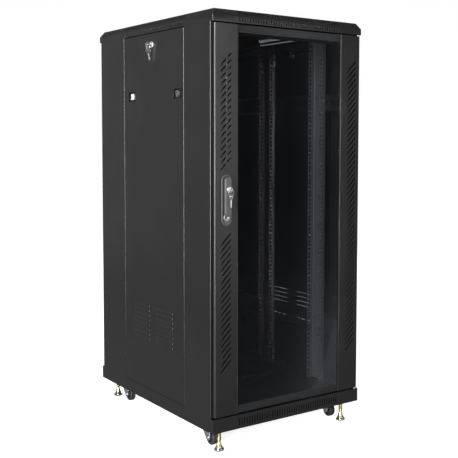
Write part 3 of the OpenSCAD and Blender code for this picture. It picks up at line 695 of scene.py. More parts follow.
def cap():
    top = (CAP_HI.z - HEAVY - OVER, CAP_HI.z + OVER)
    bottom = (ROOF - OVER, ROOF + HEAVY + OVER)
    cuts = [roof_form(HEAVY), prism(inset_plan(60), "z", *bottom)]
    for z in (ROOF + 5, ROOF + CAP_LIP + 4):
        cuts += air_row("y", ROW_X, z, CAP_SLOT)
        cuts += air_row("x", ROW_Y, z, CAP_SLOT)
    for y in FAN_Y:
        cuts += fan_cuts(y, *top)
    cuts.append(cable_hole(*top))
    cuts += hinge_and_rod_holes(*bottom, HANDLE_X + ROD_SHIFT)
    piece("roof_cap", [solid([roof_form(0)], cuts, 0.5)], "top_cap")


def covers():
    """Blanking plates under the cable openings and the fan grilles, each with four screws."""
    lo, hi = reach("cable_covers")
    fan_half = 62
    spots = [(hi.y - 55, top, hi.x, 55, 6) for top in (lo.z + SHEET, hi.z)]
    spots += [(y, hi.z, fan_half, fan_half, fan_half - FAN_BOLT) for y in FAN_Y]
    plates = []
    screws = []
    for y, top, half_x, half_y, inset in spots:
        plates.append(plain(slab((-half_x, y - half_y, half_x, y + half_y), 5, "z", top - SHEET, top)))
        for x, dy in four(half_x - inset, half_y - inset):
            screws.append(plain(pan_head("z", (x, y + dy, top - SHEET), 3.4, -2.2), edge=0))
    piece("cover_plates", plates, "cable_covers")
    piece("cover_screws", screws, "cable_covers", "zinc", False)


def pan_head(axis, centre, radius, height):
    """A domed screw head standing out from a face; a negative height points backwards."""
    sag = [(0, 0), (radius, 0), (radius, 0.45), (radius * 0.86, 0.8), (radius * 0.5, 0.97), (0, 1)]
    return lathe([(r, h * height) for r, h in sag], axis, centre, 24)


def ring():
    """The roof's carrying channel and the side locks' catches."""
    lo = reach("top_frame")[0]
    x = HALF_W - 16
    y = HALF_D - 50
    rim = 25
    hole = rectangle(-x + rim, -y + rim, x - rim, y - rim)
    hollow = rectangle(-x + SHEET, -y + SHEET, x - SHEET, y - SHEET)
    channel = solid(
        [slab((-x, -y, x, y), 3, "z", lo.z, ROOF)],
        [
            prism(hole, "z", lo.z - OVER, ROOF + OVER),
            prism(hollow, "z", lo.z + SHEET, ROOF - SHEET),
        ],
    )
    wall = -x - 0.05
    low = ROOF - 14
    path = [(lo.x, low), (lo.x, ROOF), (wall, ROOF), (wall, low)]
    catch = plain(prism(folded(path, -SHEET, 0.6), "y", LOCK_Y - 20, LOCK_Y + 20))
    piece("roof_channel", [channel, catch] + mirrored([catch]), "top_frame")


# ---- posts, braces and rails ----


FLANGE_IN = HALF_W - 56
POST_BACK = HALF_D - 50
LEDGE_IN = HALF_W - 16
THROUGH_FLANGE = (-FLANGE_IN - 3, -FLANGE_IN + 2)


def post_meshes(front, rolled=0, strike_z=None):
    """A corner post drawn at the front left; its strip can end in a rolled edge."""
    edge = PANEL_FRONT if front else -PANEL_REAR
    strip_end = HALF_D - 14
    flange_y = HALF_D - 24
    side = [(-HALF_W, -strip_end), (-HALF_W, edge), (-LEDGE_IN, edge), (-LEDGE_IN, edge - 20)]
    bends = [1.6, 1.2]
    if rolled:
        side = [(-HALF_W + rolled, -strip_end)] + side
        bends = [2.6] + bends
    strike = (-294, LATCH_Z - 12, -285, LATCH_Z + 12)
    strip = solid(
        [prism(folded(side, -SHEET, bends), "z", FLOOR, ROOF)],
        [slab(strike, 2, "y", edge - SHEET - OVER, edge + OVER)],
    )
    face = [(-HALF_W + OVER, -flange_y), (-FLANGE_IN, -flange_y), (-FLANGE_IN, -POST_BACK)]
    holes = [
        slab((-POST_BACK - 17, z, -POST_BACK - 9, z + 24), 3, "x", *THROUGH_FLANGE)
        for z in range(180, 1281, 80)
    ]
    if strike_z:
        slot = (-POST_BACK - 25, strike_z - 12, -POST_BACK - 15, strike_z + 12)
        holes.append(slab(slot, 2, "x", *THROUGH_FLANGE))
    flange = solid([prism(folded(face, SHEET, 1.6), "z", FLOOR, ROOF)], holes)
    return [strip, flange]


def posts():
    piece("post_front_left_skin", post_meshes(True, 4.5), "post_front_left")
    piece("post_front_right_skin", mirrored(post_meshes(True)), "post_front_right")
    rear_left = mirrored(post_meshes(False, 0, REAR_LOCK_Z), "y")
    piece("post_rear_left_skin", rear_left, "post_rear_left")
    rear_right = mirrored(mirrored(post_meshes(False), "y"))
    piece("post_rear_right_skin", rear_right, "post_rear_right")


BRACE_Z = (LOWER_BRACE_Z, UPPER_BRACE_Z)
RAIL_SPANS = ((RAIL_LO, RAIL_HI), (REAR_RAIL_LO, REAR_RAIL_HI))
WEB = RAIL_LO.x
THROUGH_WEB = (WEB - 3, WEB + 1)


def rail_holes(lo, hi):
    """Bolt places of one left rail as (y, z)."""
    return [(y, z + dz) for y in (lo.y + 18, hi.y - 18) for z in BRACE_Z for dz in (-18, 18)]


def brace(z):
    """A left brace: a channel with slots and holes in its web, and its tabs on the posts."""
    half = (BRACE_HI.z - BRACE_LO.z) / 2
    low, high, end = z - half, z + half, BRACE_HI.y
    path = [(-LEDGE_IN, low), (WEB, low), (WEB, high), (-LEDGE_IN, high)]
    cuts = [prism(stadium(y, z, 8, 28, pi / 2), "x", *THROUGH_WEB) for y in range(-330, 331, 60)]
    cuts += [bore(y, z, 6, "x", *THROUGH_WEB) for y in range(-300, 301, 60)]
    for lo, hi in RAIL_SPANS:
        for y, hole_z in rail_holes(lo, hi):
            if low < hole_z < high:
                cuts.append(bore(y, hole_z, BOLT_BORE, "x", *THROUGH_WEB, 16))
    channel = solid([prism(folded(path, HEAVY, 1.5), "y", -end, end)], cuts)
    tabs = []
    for y in (PANEL_FRONT - 20, PANEL_REAR):
        tab = slab((y, low + 1, y + 20, high - 1), 3, "x", -LEDGE_IN, -LEDGE_IN + HEAVY)
        tabs.append(plain(tab))
    return [channel] + tabs


def braces():
    both_sides("brace_lower", brace(LOWER_BRACE_Z))
    both_sides("brace_upper", brace(UPPER_BRACE_Z))


def brace_bolts():
    """Bolts of the braces' tabs on the posts."""
    heads = []
    for z in BRACE_Z:
        for y in (PANEL_FRONT - 10, PANEL_REAR + 10):
            for dz in (-16, 16):
                heads.append(plain(pan_head("x", (-LEDGE_IN + HEAVY, y, z + dz), 5, 3.4), edge=0))
    piece("brace_bolt_heads", heads + mirrored(heads), "rail_bolts", "black_zinc", False)


UNIT = 44.45
UNITS = 27
RACK_HOLES = (6.35, 22.225, 38.1)
HOLE_COLUMN = -465 / 2
HOLE_HALF = 4.75


def rail(lo, hi):
    """A left mounting rail with its column of square holes."""
    path = [(hi.x, lo.y), (lo.x, lo.y), (lo.x, hi.y), (hi.x, hi.y)]
    x0, x1 = HOLE_COLUMN - HOLE_HALF, HOLE_COLUMN + HOLE_HALF
    cuts = []
    for unit in range(UNITS):
        for offset in RACK_HOLES:
            z = lo.z + 5 + unit * UNIT + offset
            hole = rounded(rectangle(x0, z - HOLE_HALF, x1, z + HOLE_HALF), 0.6, 2)
            cuts.append(prism(hole, "y", lo.y - OVER, hi.y + OVER))
    for z in range(int(lo.z) + 60, int(hi.z) - 60, 100):
        cuts.append(bore((lo.y + hi.y) / 2, z, 5, "x", lo.x - 1, lo.x + 3))
    for y, z in rail_holes(lo, hi):
        cuts.append(bore(y, z, BOLT_BORE, "x", lo.x - 1, lo.x + 3, 16))
    return solid([prism(folded(path, -HEAVY, 1.5), "z", lo.z, hi.z)], cuts, 0.25, 1)


def rails():
    both_sides("rail_front", [rail(RAIL_LO, RAIL_HI)])
    both_sides("rail_rear", [rail(REAR_RAIL_LO, REAR_RAIL_HI)])


# Heights of the bright pads that stand in, as painted light, for the backdrop's light seen through the
# rear rails' slots.
SLOT_LIGHT_Z = ((134, 154), (157, 176), (1265, 1287), (1291, 1311))


def slot_light_pads():
    """Bright zinc pads, two above each other, near both ends of the rear rails' front flanges: painted
    light standing in for the backdrop's light seen through slots there.
    """
    x = REAR_RAIL_LO.x + 5
    y = REAR_RAIL_LO.y
    face = y - 1.8
    light_pads = []
    for z0, z1 in SLOT_LIGHT_Z:
        mid = (z0 + z1) / 2
        pad = prism(stadium(x, mid, 10, z1 - z0), "y", face, y + 0.2)
        dimple = lathe([(0, -1), (2.2, -1), (2.6, 0.4), (0, 0.4)], "y", (x, face, mid), 20)
        light_pads.append(solid([pad], [dimple], 0.4))
    # The pads' bright zinc is painted light in place of the light that shows through the slots.
    piece("rail_slot_light_pads", light_pads + mirrored(light_pads), "rail_rear_left", "zinc", False)


def rail_bolts():
    bolts = []
    for lo, hi in RAIL_SPANS:
        for y, z in rail_holes(lo, hi):
            bolts.append(plain(pin("x", (WEB - 7, y, z), 3, 8, 20), edge=0.2))
            bolts.append(plain(pan_head("x", (WEB + HEAVY, y, z), 5, 4), edge=0))
            bolts.append(plain(prism(hexagon(y, z, 5.7), "x", WEB - 7, WEB - HEAVY), edge=0.4))
    piece("rail_bolt_set", bolts + mirrored(bolts), "rail_bolts", "black_zinc")


# ---- front door ----


DOOR_SHEET = (-HALF_D - OVER, -HALF_D + 3)
LEFT_SLOTS = ((893, 17), (258, 21))
LEFT_SLOTS_X = -252
RIGHT_SLOTS = (258, 49)
RIGHT_SLOTS_X = 259


def stile(x0, x1, cuts):
    """A folded door stile from its rounded outer edge x0 to its inner wall x1."""
    back = DOOR_HI.y
    lip = 11.5
    front = -HALF_D
    path = [(x0 + lip, back), (x0, back), (x0, front), (x1, front), (x1, back), (x1 - lip, back)]
    walls = prism(folded(path, SHEET, [1.0, 6.5, 1.0, 1.0]), "z", DOOR_LO.z, DOOR_HI.z)
    plan = rounded([(x0, back), (x0, front), (x1, front), (x1, back)], [2.5, 8, 2.5, 2.5])
    ends = [prism(plan, "z", z, z + 3) for z in (DOOR_LO.z, DOOR_HI.z - 3)]
    return solid([walls] + ends, cuts, 0.35)


def slanted(x_mid, z0, count):
    """A column of slots leaning 45 degrees, the lowest ending at z0."""
    run = 38
    cuts = []
    for i in range(count):
        slot = stadium(x_mid, z0 + run / 2 + 20 * i, 4.5, run * sqrt(2), -pi / 4)
        cuts.append(prism(slot, "y", *DOOR_SHEET))
    return cuts


def door_end_hole(x, y, radius, z):
    return bore(x, y, radius, "z", z - OVER, z + 3 + OVER)


def front_door():
    inner = GLASS_HI.x + 1.5
    low, high = DOOR_LO.z, DOOR_HI.z - 3
    left_cuts = []
    for start in LEFT_SLOTS:
        left_cuts += slanted(LEFT_SLOTS_X, *start)
    left_cuts.append(bore(HANDLE_X, HANDLE_Z, SPINDLE_BORE, "y", *DOOR_SHEET, 32))
    for z in (PLATE_LO.z + 8, PLATE_HI.z - 8):
        left_cuts.append(bore(HANDLE_X, z, 2.2, "y", *DOOR_SHEET, 16))
    left_cuts.append(door_end_hole(HANDLE_X + ROD_SHIFT, ROD_Y, ROD_BORE, high))
    left_cuts.append(door_end_hole(HANDLE_X - ROD_SHIFT, ROD_Y, ROD_BORE, low))
    left = stile(DOOR_LO.x, -inner, left_cuts)
    right_cuts = [moved(Matrix.Scale(-1, 4, (1, 0, 0)), *slanted(RIGHT_SLOTS_X, *RIGHT_SLOTS))]
    right_cuts += [door_end_hole(-PIN_X, -PIN_Y, PIN_BORE, z) for z in (low, high)]
    right = mirrored([stile(-DOOR_HI.x, -inner, right_cuts)])
    rails_across = []
    front, back = -HALF_D + 6, DOOR_HI.y
    for z in (DOOR_LO.z, DOOR_HI.z - 25):
        path = [(back, z), (front, z), (front, z + 25), (back, z + 25)]
        rails_across.append(plain(prism(folded(path, -SHEET), "x", -inner, inner)))
    piece("front_door_skin", [left] + right + rails_across, "front_door_frame")


def glass():
    outline = (GLASS_LO.x, GLASS_LO.z, GLASS_HI.x, GLASS_HI.z)
    sheet = plain(slab(outline, 2, "y", GLASS_LO.y, GLASS_HI.y), edge=0.6)
    piece("glass_pane", [sheet], "door_glass")


def seals():
    lo, hi = reach("glass_seal")
    side = rectangle(lo.x, lo.y, GLASS_LO.x, GLASS_HI.y)
    strip = plain(prism(rounded(side, 0.6, 4), "z", lo.z, hi.z), edge=0)
    tapes = []
    for z in (lo.z, hi.z - 24):
        tape = slab((GLASS_LO.x, z, GLASS_HI.x, z + 24), 1, "y", GLASS_HI.y, hi.y)
        tapes.append(plain(tape, edge=0.4))
    piece("glass_gaskets", [strip] + mirrored([strip]) + tapes, "glass_seal")


def hinge_pins():
    lo, hi = reach("hinge_pins")
    collar = FLOOR - lo.z
    head = hi.z - ROOF
    lower = [(0, 0), (4, 0), (4.6, 0.6), (4.6, 2), (3, 2), (3, collar), (4.6, collar),
             (4.6, collar + 4.9), (3, collar + 4.9), (3, 21), (2.2, 22), (0, 22)]
    upper = [(0, -14), (2.2, -14), (3, -13), (3, head - 2), (4.6, head - 2),
             (4.6, head - 0.6), (4, head), (0, head)]
    pins = []
    for y in (-PIN_Y, PIN_Y):
        for profile, z in ((lower, lo.z), (upper, ROOF)):
            pins.append(plain(lathe(profile, "z", (PIN_X, y, z)), edge=0.2))
    piece("hinge_pin_set", pins, "hinge_pins")


# ---- handle ----


def tapering(mid, width, height, steps):
    """Rings of an upright round-ended form at the handle's x, as (inset, y) steps."""
    return [(stadium(HANDLE_X, mid, width - 2 * inset, height - 2 * inset, steps=16), y)
            for inset, y in steps]


def handle_plate():
    lo, hi = PLATE_LO, PLATE_HI
    front = -HALF_D - 6
    form = ((lo.z + hi.z) / 2, hi.x - lo.x, hi.z - lo.z)
    rings = tapering(*form, ((0, -HALF_D), (0, front + 2), (0.6, front + 0.6), (2, front)))
    tray = tapering(*form, ((5.5, front + 3), (4, front - OVER)))
    spindle = bore(HANDLE_X, HANDLE_Z, SPINDLE_BORE, "y", front - 2, -HALF_D + 2, 32)
    plate = solid([loft(rings, "y")], [loft(tray, "y"), spindle], 0.5)
    studs = [plain(pin("y", (HANDLE_X, -HALF_D - 1, z), 2, 7, 16), edge=0.2)
             for z in (lo.z + 8, hi.z - 8)]
    piece("handle_tray", [plate] + studs, "handle_plate")


def hub():
    """The turning boss: disc and spindle, lug with its cross pin, cam and its two pegs."""
    face = -HALF_D - 6.3
    x, z = HANDLE_X, HANDLE_Z
    profile = [(0, -3), (10.6, -3), (12.5, -1.6), (12.5, 0), (8, 0), (8, 12), (0, 12)]
    lug = slab((x - 4, z - 3, x + 4, z + 3), 1.5, "y", face - 9, face - 1)
    cam_y = -HALF_D + 6
    meshes = [
        plain(lathe(profile, "y", (x, face, z)), edge=0.4),
        plain(lug, edge=0.4),
        plain(pin("x", (x - 10, face - 6.2, z), 2, 20)),
        plain(pin("y", (x, cam_y, z), 16, 2.5, 40), edge=0.4),
    ]
    for s, length in ((1, 4.6), (-1, 7.8)):
        meshes.append(plain(pin("y", (x + s * ROD_SHIFT, cam_y + 1, z), 2.5, length)))
    piece("handle_boss", meshes, "handle_hub")


def lever():
    """The swing lever: a round-ended grip, hollow behind, with its knuckle and lock bore."""
    x, z = HANDLE_X, HANDLE_Z
    front, back = -HALF_D - 18, -HALF_D - 6.6
    over_front, over_back = front - OVER, back + OVER
    low, high = z + 3, reach("handle_lever")[1].z
    width = 25
    steps = ((0.8, back), (0, back - 0.8), (0, front + 4.2), (0.5, front + 2.2),
             (1.6, front + 0.7), (3.2, front))
    grip = loft(tapering((low + high) / 2, width, high - low, steps), "y")
    pivot_y = -HALF_D - 12.5
    foot_x = width / 2 - 0.3
    foot = block((x - foot_x, front + 2.5, z), (x + foot_x, pivot_y, z + 14))
    knuckle = pin("x", (x - width / 2, pivot_y, z), 2.9, width)
    plug_z = middle("handle_lock_plug")[2]
    cuts = [
        block((x - 4.3, over_front, z - 6), (x + 4.3, over_back, z + 6)),
        block((x - 20, pivot_y + 3, z - 6), (x + 20, over_back, z + 14)),
        block((x - 7, back - 6, z + 22), (x + 7, over_back, plug_z - 14)),
        pin("x", (x - 20, pivot_y, z), 2.05, 40),
        pin("y", (x, over_front, plug_z), 6.05, 20),
        pin("y", (x, over_front, plug_z), 8.2, 1.8),
    ]
    piece("lever_grip", [solid([grip, foot, knuckle], cuts, 0.4)], "handle_lever")
    profile = [(6.1, 0.6), (8.1, 0.6), (8.1, -0.2), (7.6, -0.7), (6.5, -0.7), (6.1, -0.4)]
    collar = plain(lathe(profile, "y", (x, front, plug_z)), edge=0)
    piece("lever_lock_ring", [collar], "handle_lever", "chrome", False)


# ---- keys and locks, drawn along +Y from the origin ----


KEY_HOLE = 11
PLUG_FACE = -3.5
RING_R = 10
HANDLE_TILT = 0.06
SPARE_TILT = 0.22


def key(blade, extra=0.0):
    """A flat key in the YZ plane with a round bow, shoulders and a cut blade."""
    bow_y = -KEY_HOLE - extra
    bow = bore(bow_y, 0, 9, "x", -1, 1, 36)
    neck = prism(rectangle(-4 - extra, -3.5, -0.5, 3.5), "x", -1, 1)
    edge = [(-0.6, -3.3), (blade - 1.5, -3.3), (blade, -0.8), (blade - 1.2, 3.3), (-0.6, 3.3)]
    shaft = prism(rounded(edge, [0, 1, 1, 1, 0], 3), "x", -0.95, 0.95)
    cuts = [bore(bow_y, 0, 2.6, "x", -2, 2, 20)]
    for i in range(max(1, int(blade / 4))):
        tip = blade - 3.2 - 3.4 * i
        if tip > 2:
            root = 3.4 - (1.5 + (i % 3) * 0.5)
            notch = [(tip - 1.6, 4.5), (tip + 1.6, 4.5), (tip + 0.4, root), (tip - 0.4, root)]
            cuts.append(prism(notch, "x", -2, 2))
    for side in (-1, 1):
        near, far = sorted((side * 0.6, side * 2))
        cuts.append(block((near, 0.8, -1.7), (far, blade - 2.5, -0.5)))
        face = [(3.7, 0.75), (8.0, 0.75), (8.0, 1.5), (3.7, 1.5)]
        dish = [(r, h * side) for r, h in face]
        cuts.append(lathe(dish, "x", (0, bow_y, 0), 36))
    return solid([bow, neck, shaft], cuts, 0.22)


def split_ring():
    """Two close turns of wire hanging from the origin."""
    wire, turns, steps = 0.42, 1.9, 96
    points = []
    for i in range(steps + 1):
        t = i / steps
        angle = pi / 2 + 2 * pi * turns * t
        points.append((RING_R * cos(angle), (t - 0.5) * 0.9, -RING_R + 1 + RING_R * sin(angle)))
    return plain(tube(points, wire, 10), edge=0)


def hung_key(tilt):
    """The ring and the spare key at its lowest point, tilted a little from upright."""
    drop = 2 * RING_R - 1 + 2.6 - 0.9
    hang = at(0, 0, -drop) @ spun(tilt, "X") @ spun(-pi / 2, "X")
    return [split_ring()] + shifted([key(24)], hang @ at(0, KEY_HOLE, 0))


def plug(length):
    """A lock plug with a bevelled face and an upright keyway."""
    body = lathe([(0, 0), (5.2, 0), (6, 0.7), (6, length), (0, length)], "y", (0, 0, 0), 36)
    return solid([body], [block((-1.3, -OVER, -4.3), (1.3, 9, 4.3))], 0.2)


def barrel(length):
    """A barrel lock's flange, body and nut."""
    profile = [(6.05, -3), (9.6, -3), (11.4, -2.4), (12, -1.2), (12, 0), (9.4, 0), (9.4, SHEET),
               (9.4, length), (6.05, length)]
    nut = prism(hexagon(0, 0, 12), "y", SHEET, SHEET + 3)
    hole = pin("y", (0, -5, 0), 6.05, length + 10, 36)
    return [plain(lathe(profile, "y", (0, 0, 0), 48), edge=0.25), solid([nut], [hole], 0.5)]


def cam(length, reach_out, turn):
    """A plug with its cam behind the barrel."""
    level = length + 0.5
    arm = slab((-6, 0, 6, reach_out), [0, 0, 4, 4], "y", level, level + 2)
    boss = pin("y", (0, level, 0), 7, 2)
    face = shifted([plug(level - PLUG_FACE)], at(0, PLUG_FACE, 0))
    return face + [plain(moved(spun(turn, "Y"), arm), boss, edge=0.35)]


def handle_lock():
    plug_y = reach("handle_lock_plug")[0].y
    spot = at(HANDLE_X, plug_y, middle("handle_lock_plug")[2])
    piece("handle_lock_face", shifted([plug(11)], spot), "handle_lock_plug", "chrome")
    piece("handle_key_cut", shifted([key(8)], spot), "handle_key")
    ring_at = spot @ at(0, -KEY_HOLE, 0)
    piece("handle_key_hanging", shifted(hung_key(HANDLE_TILT), ring_at), "handle_spare_key")


def side_locks():
    spot = at(-HALF_W, LOCK_Y, LOCK_Z) @ spun(-pi / 2, "Z")
    both_sides("side_lock_barrel", shifted(barrel(12), spot), "chrome")
    both_sides("side_lock_plug", shifted(cam(12, 24, 0), spot))
    in_lock = spot @ at(0, PLUG_FACE, 0)
    both_sides("side_key", shifted([key(8)], in_lock))
    ring_at = in_lock @ at(0, -KEY_HOLE, 0)
    piece("side_key_hanging", shifted(hung_key(SPARE_TILT), ring_at), "side_spare_key")


def rear_lock():
    spot = at(REAR_LOCK_X, -HALF_D, REAR_LOCK_Z)
    extra = reach("rear_key")[1].y - HALF_D - 3.5 - KEY_HOLE - 9
    key_spot = spot @ at(0, PLUG_FACE, 0)
    piece("rear_lock_body", mirrored(shifted(barrel(28), spot), "y"), "rear_lock_barrel", "chrome")
    piece("rear_lock_cam", mirrored(shifted(cam(28, 20.5, -pi / 2), spot), "y"), "rear_lock_plug")
    piece("rear_key_cut", mirrored(shifted([key(8, extra)], key_spot), "y"), "rear_key")


def lock_rods():
    """The two rods, each with a slotted lug that the cam's peg drives."""
    for node, s, lug_y in (("lock_rod_upper", 1, -3.8), ("lock_rod_lower", -1, -0.6)):
        lo, hi = reach(node)
        low, high = sorted((HANDLE_Z + s * 4.5, hi.z if s > 0 else lo.z))
        profile = [(0, low), (3, low), (4, low + 1.5), (4, high - 1.5), (3, high), (0, high)]
        rod = plain(lathe(profile, "z", (HANDLE_X + s * ROD_SHIFT, ROD_Y, 0), 32), edge=0)
        y = ROD_Y + lug_y
        outlines = []
        for form in (rounded(rectangle(-5, -8, 16, 6), 3), rounded(rectangle(-2.6, -5.1, 13.6, 2.6), 2.5)):
            outlines.append([(HANDLE_X + s * u, HANDLE_Z + s * v) for u, v in form])
        plate, slot = outlines
        lug = solid([prism(plate, "y", y, y + 2)], [prism(slot, "y", y - 1, y + 3)])
        piece(node + "_skin", [rod, lug], node)


GUIDES = ((1, 960), (1, 1200), (-1, 300), (-1, 560))


def rod_guides():
    back = -HALF_D + 20 - SHEET
    guides = []
    for s, z in GUIDES:
        x = HANDLE_X + s * ROD_SHIFT
        body = slab((x - 8, -HALF_D + SHEET, x + 8, back), 2, "z", z - 4, z + 4)
        guides.append(solid([body], [bore(x, ROD_Y, ROD_BORE, "z", z - 6, z + 6)], 0.5))
    piece("rod_guide_set", guides, "rod_guides", "wheel_rubber")


# ---- louvres, rear door and side panels ----


LOUVRE_PITCH = 16.7
LOUVRES = 8
RISE = 8.0
HOOD = 4.0
HOOD_SHEET = 0.9
HOOD_END = 9.0


def hood_height(x, y, length):
    """The hood's height: a half wave up from its edge, falling off in a round at its ends."""
    inset = min(x + length / 2, length / 2 - x) / HOOD_END
    end = sqrt(1 - (1 - min(inset, 1.0)) ** 2)
    return end * cos(pi / 2 * y / RISE)


def louvre(length):
    """A pressed hood on z 0, open at its lower edge y 0 and closed round its ends."""
    across, up = 28, 7

    def add(shape):
        rows = {}
        for layer, shrink in ((0, 0.0), (1, HOOD_SHEET)):
            for i in range(across + 1):
                x = length / 2 * sin(pi * (i / across - 0.5))
                for j in range(up + 1):
                    y = RISE * j / up
                    z = HOOD * hood_height(x, y, length) - shrink
                    rows[layer, i, j] = shape.verts.new((x, y, max(z, -1.2) if layer else z))
        for layer in (0, 1):
            for i in range(across):
                for j in range(up):
                    quad = ((i, j), (i + 1, j), (i + 1, j + 1), (i, j + 1))
                    shape.faces.new([rows[layer, k, m] for k, m in quad])
        rim = [(i, 0) for i in range(across + 1)] + [(across, j) for j in range(1, up + 1)]
        rim += [(i, up) for i in range(across - 1, -1, -1)] + [(0, j) for j in range(up - 1, 0, -1)]
        for (i, j), (k, m) in zip(rim, rim[1:] + rim[:1]):
            shape.faces.new([rows[0, i, j], rows[0, k, m], rows[1, k, m], rows[1, i, j]])

    return plain(add, edge=0)


def louvre_block(length, place):
    """Hoods of one block and the slits behind them; place carries z 0 to the outer face."""
    half = length / 2 - 3
    hoods = []
    slits = []
    for i in range(LOUVRES):
        y = i * LOUVRE_PITCH
        hoods += shifted([louvre(length)], place @ at(0, y, 0))
        slits.append(moved(place, slab((-half, y + 0.8, half, y + 5), 1.5, "z", -SHEET - OVER, OVER)))
    return hoods, slits


REAR_LOUVRES = [(x, z) for x in (-100, 100) for z in (240, 1090)]
REAR_LOUVRE = 150
SIDE_LOUVRES = [(LOCK_Y - 81, 288), (LOCK_Y + 81, 288)]
SIDE_LOUVRE = 112


def rear_door():
    lo, hi = reach("rear_door")
    x0, x1 = lo.x, hi.x
    inner, outer = HALF_D - 20, HALF_D
    path = [(x0 + 12, inner), (x0, inner), (x0, outer), (x1, outer), (x1, inner), (x1 - 12, inner)]
    walls = prism(folded(path, -SHEET, [1, 1.5, 1.5, 1]), "z", lo.z, hi.z)
    levels = (lo.z, hi.z - 3)
    cap_plan = (x0 + 0.4, inner + 0.3, x1 - 0.4, outer - 0.3)
    ends = [slab(cap_plan, 2, "z", z, z + 3) for z in levels]
    hoods = []
    cuts = [door_end_hole(PIN_X, PIN_Y, PIN_BORE, z) for z in levels]
    cuts.append(bore(REAR_LOCK_X, REAR_LOCK_Z, BARREL_BORE, "y", outer - 3, outer + 1, 32))
    for x, z in REAR_LOUVRES:
        place = at(x, outer, z) @ spun(pi, "Z") @ spun(pi / 2, "X")
        some, slits = louvre_block(REAR_LOUVRE, place)
        hoods += some
        cuts += slits
    piece("rear_door_skin", [solid([walls] + ends, cuts, 0.35)] + hoods, "rear_door")


LEFT = -HALF_W
POCKET_W = 56
POCKET_H = 32
POCKET_DEEP = 8


def pocket_outline(y, grown, corner):
    """The latch pocket's outline round a latch at y, grown by the given width."""
    wide, tall = (POCKET_W + grown) / 2, (POCKET_H + grown) / 2
    return rounded(rectangle(y - wide, LATCH_Z - tall, y + wide, LATCH_Z + tall), corner)


def pocket_cuts(y):
    """A latch pocket's hollow and the slot in its floor."""
    floor_x = LEFT + POCKET_DEEP
    mouth = pocket_outline(y, 0, 5)
    hollow = loft([(pocket_outline(y, -3, 4), floor_x), (mouth, LEFT), (mouth, LEFT - OVER)], "x")
    slot = (y - 11, LATCH_Z - 7, y + 11, LATCH_Z + 7)
    return [hollow, slab(slot, 1.5, "x", floor_x - OVER, floor_x + 3)]


def pocket_block(y):
    return prism(pocket_outline(y, 3, 6), "x", LEFT + 0.5, LEFT + POCKET_DEEP + SHEET)


def side_panel_meshes():
    """The left panel: folded skin, closed bottom and top, latch pockets, lock hole and louvres."""
    lo, hi = PANEL_LO, PANEL_HI
    deep = LEFT + 9.5
    path = [(deep, lo.y), (LEFT, lo.y), (LEFT, hi.y), (deep, hi.y)]
    near, start, end = LEFT + 0.7, lo.y + 0.7, hi.y - 0.7
    shapes = [
        prism(folded(path, -SHEET, 2.4), "z", lo.z, hi.z),
        block((near, start, lo.z + 0.05), (deep, end, lo.z + SHEET)),
        block((near, start, hi.z - SHEET), (LEFT + 7.5, end, hi.z - 0.05)),
    ]
    cuts = [bore(LOCK_Y, LOCK_Z, BARREL_BORE, "x", LEFT - OVER, LEFT + 3, 32)]
    for y in (FRONT_LATCH_Y, REAR_LATCH_Y):
        shapes.append(pocket_block(y))
        cuts += pocket_cuts(y)
    hoods = []
    for y, z in SIDE_LOUVRES:
        place = at(LEFT, y, z) @ spun(-pi / 2, "Z") @ spun(pi / 2, "X")
        some, slits = louvre_block(SIDE_LOUVRE, place)
        hoods += some
        cuts += slits
    return [solid(shapes, cuts, 0.35)] + hoods


def latch_meshes(y, tip, toward):
    """A slide latch in its pocket: ribbed grip, stem and bolt; toward is the bolt's way along Y."""
    pocket = LEFT + POCKET_DEEP

    def part(a, b, half_z, x0, x1, corner=None):
        y0, y1 = sorted((y + toward * a, y + toward * b))
        low, high = LATCH_Z - half_z, LATCH_Z + half_z
        if corner is None:
            return block((x0, y0, low), (x1, y1, high))
        return slab((y0, low, y1, high), corner, "x", x0, x1)

    grip = plain(part(9, -13, 11, LEFT + 1, pocket - 0.3, 2), edge=0.5)
    stem = plain(part(10.5, -2.5, 6, pocket - 1, pocket + 2.5))
    bolt = plain(part(tip, -2.5, 9, pocket + 1.8, pocket + 4.2, 2))
    ribs = [plain(part(6 - 4 * i, 4.4 - 4 * i, 10, LEFT, LEFT + 1.5), edge=0.45) for i in range(5)]
    return [grip, stem, bolt] + ribs


def latches():
    front = latch_meshes(FRONT_LATCH_Y, FRONT_LATCH_Y - PANEL_FRONT - 1, -1)
    both_sides("latch_front", front, "black_zinc")
    both_sides("latch_rear", latch_meshes(REAR_LATCH_Y, PANEL_REAR - REAR_LATCH_Y - 1, 1))


# ---- casters and feet ----


def caster_meshes():
    """Plate, kingpin and rivets of one caster about its swivel axis."""
    low, high = KING_LO.z, KING_HI.z
    plate = plain(slab((-30, -30, 30, 30), 5, "z", high - 3, high), edge=0.4)
    profile = [(0, low), (6, low), (7.5, low + 0.8), (7.5, low + 2.2), (5, low + 2.2),
               (5, high - 1), (0, high - 1)]
    king = plain(lathe(profile, "z", (0, 0, 0)), edge=0.2)
    rivets = [plain(pan_head("z", (x, y, high - 2.9), 4.5, -3), edge=0) for x, y in four(23, 23)]
    return [plate, king] + rivets


TRAIL = 18
AXLE_Z = (WHEEL_LO.z + WHEEL_HI.z) / 2
WHEEL_R = (WHEEL_HI.z - WHEEL_LO.z) / 2


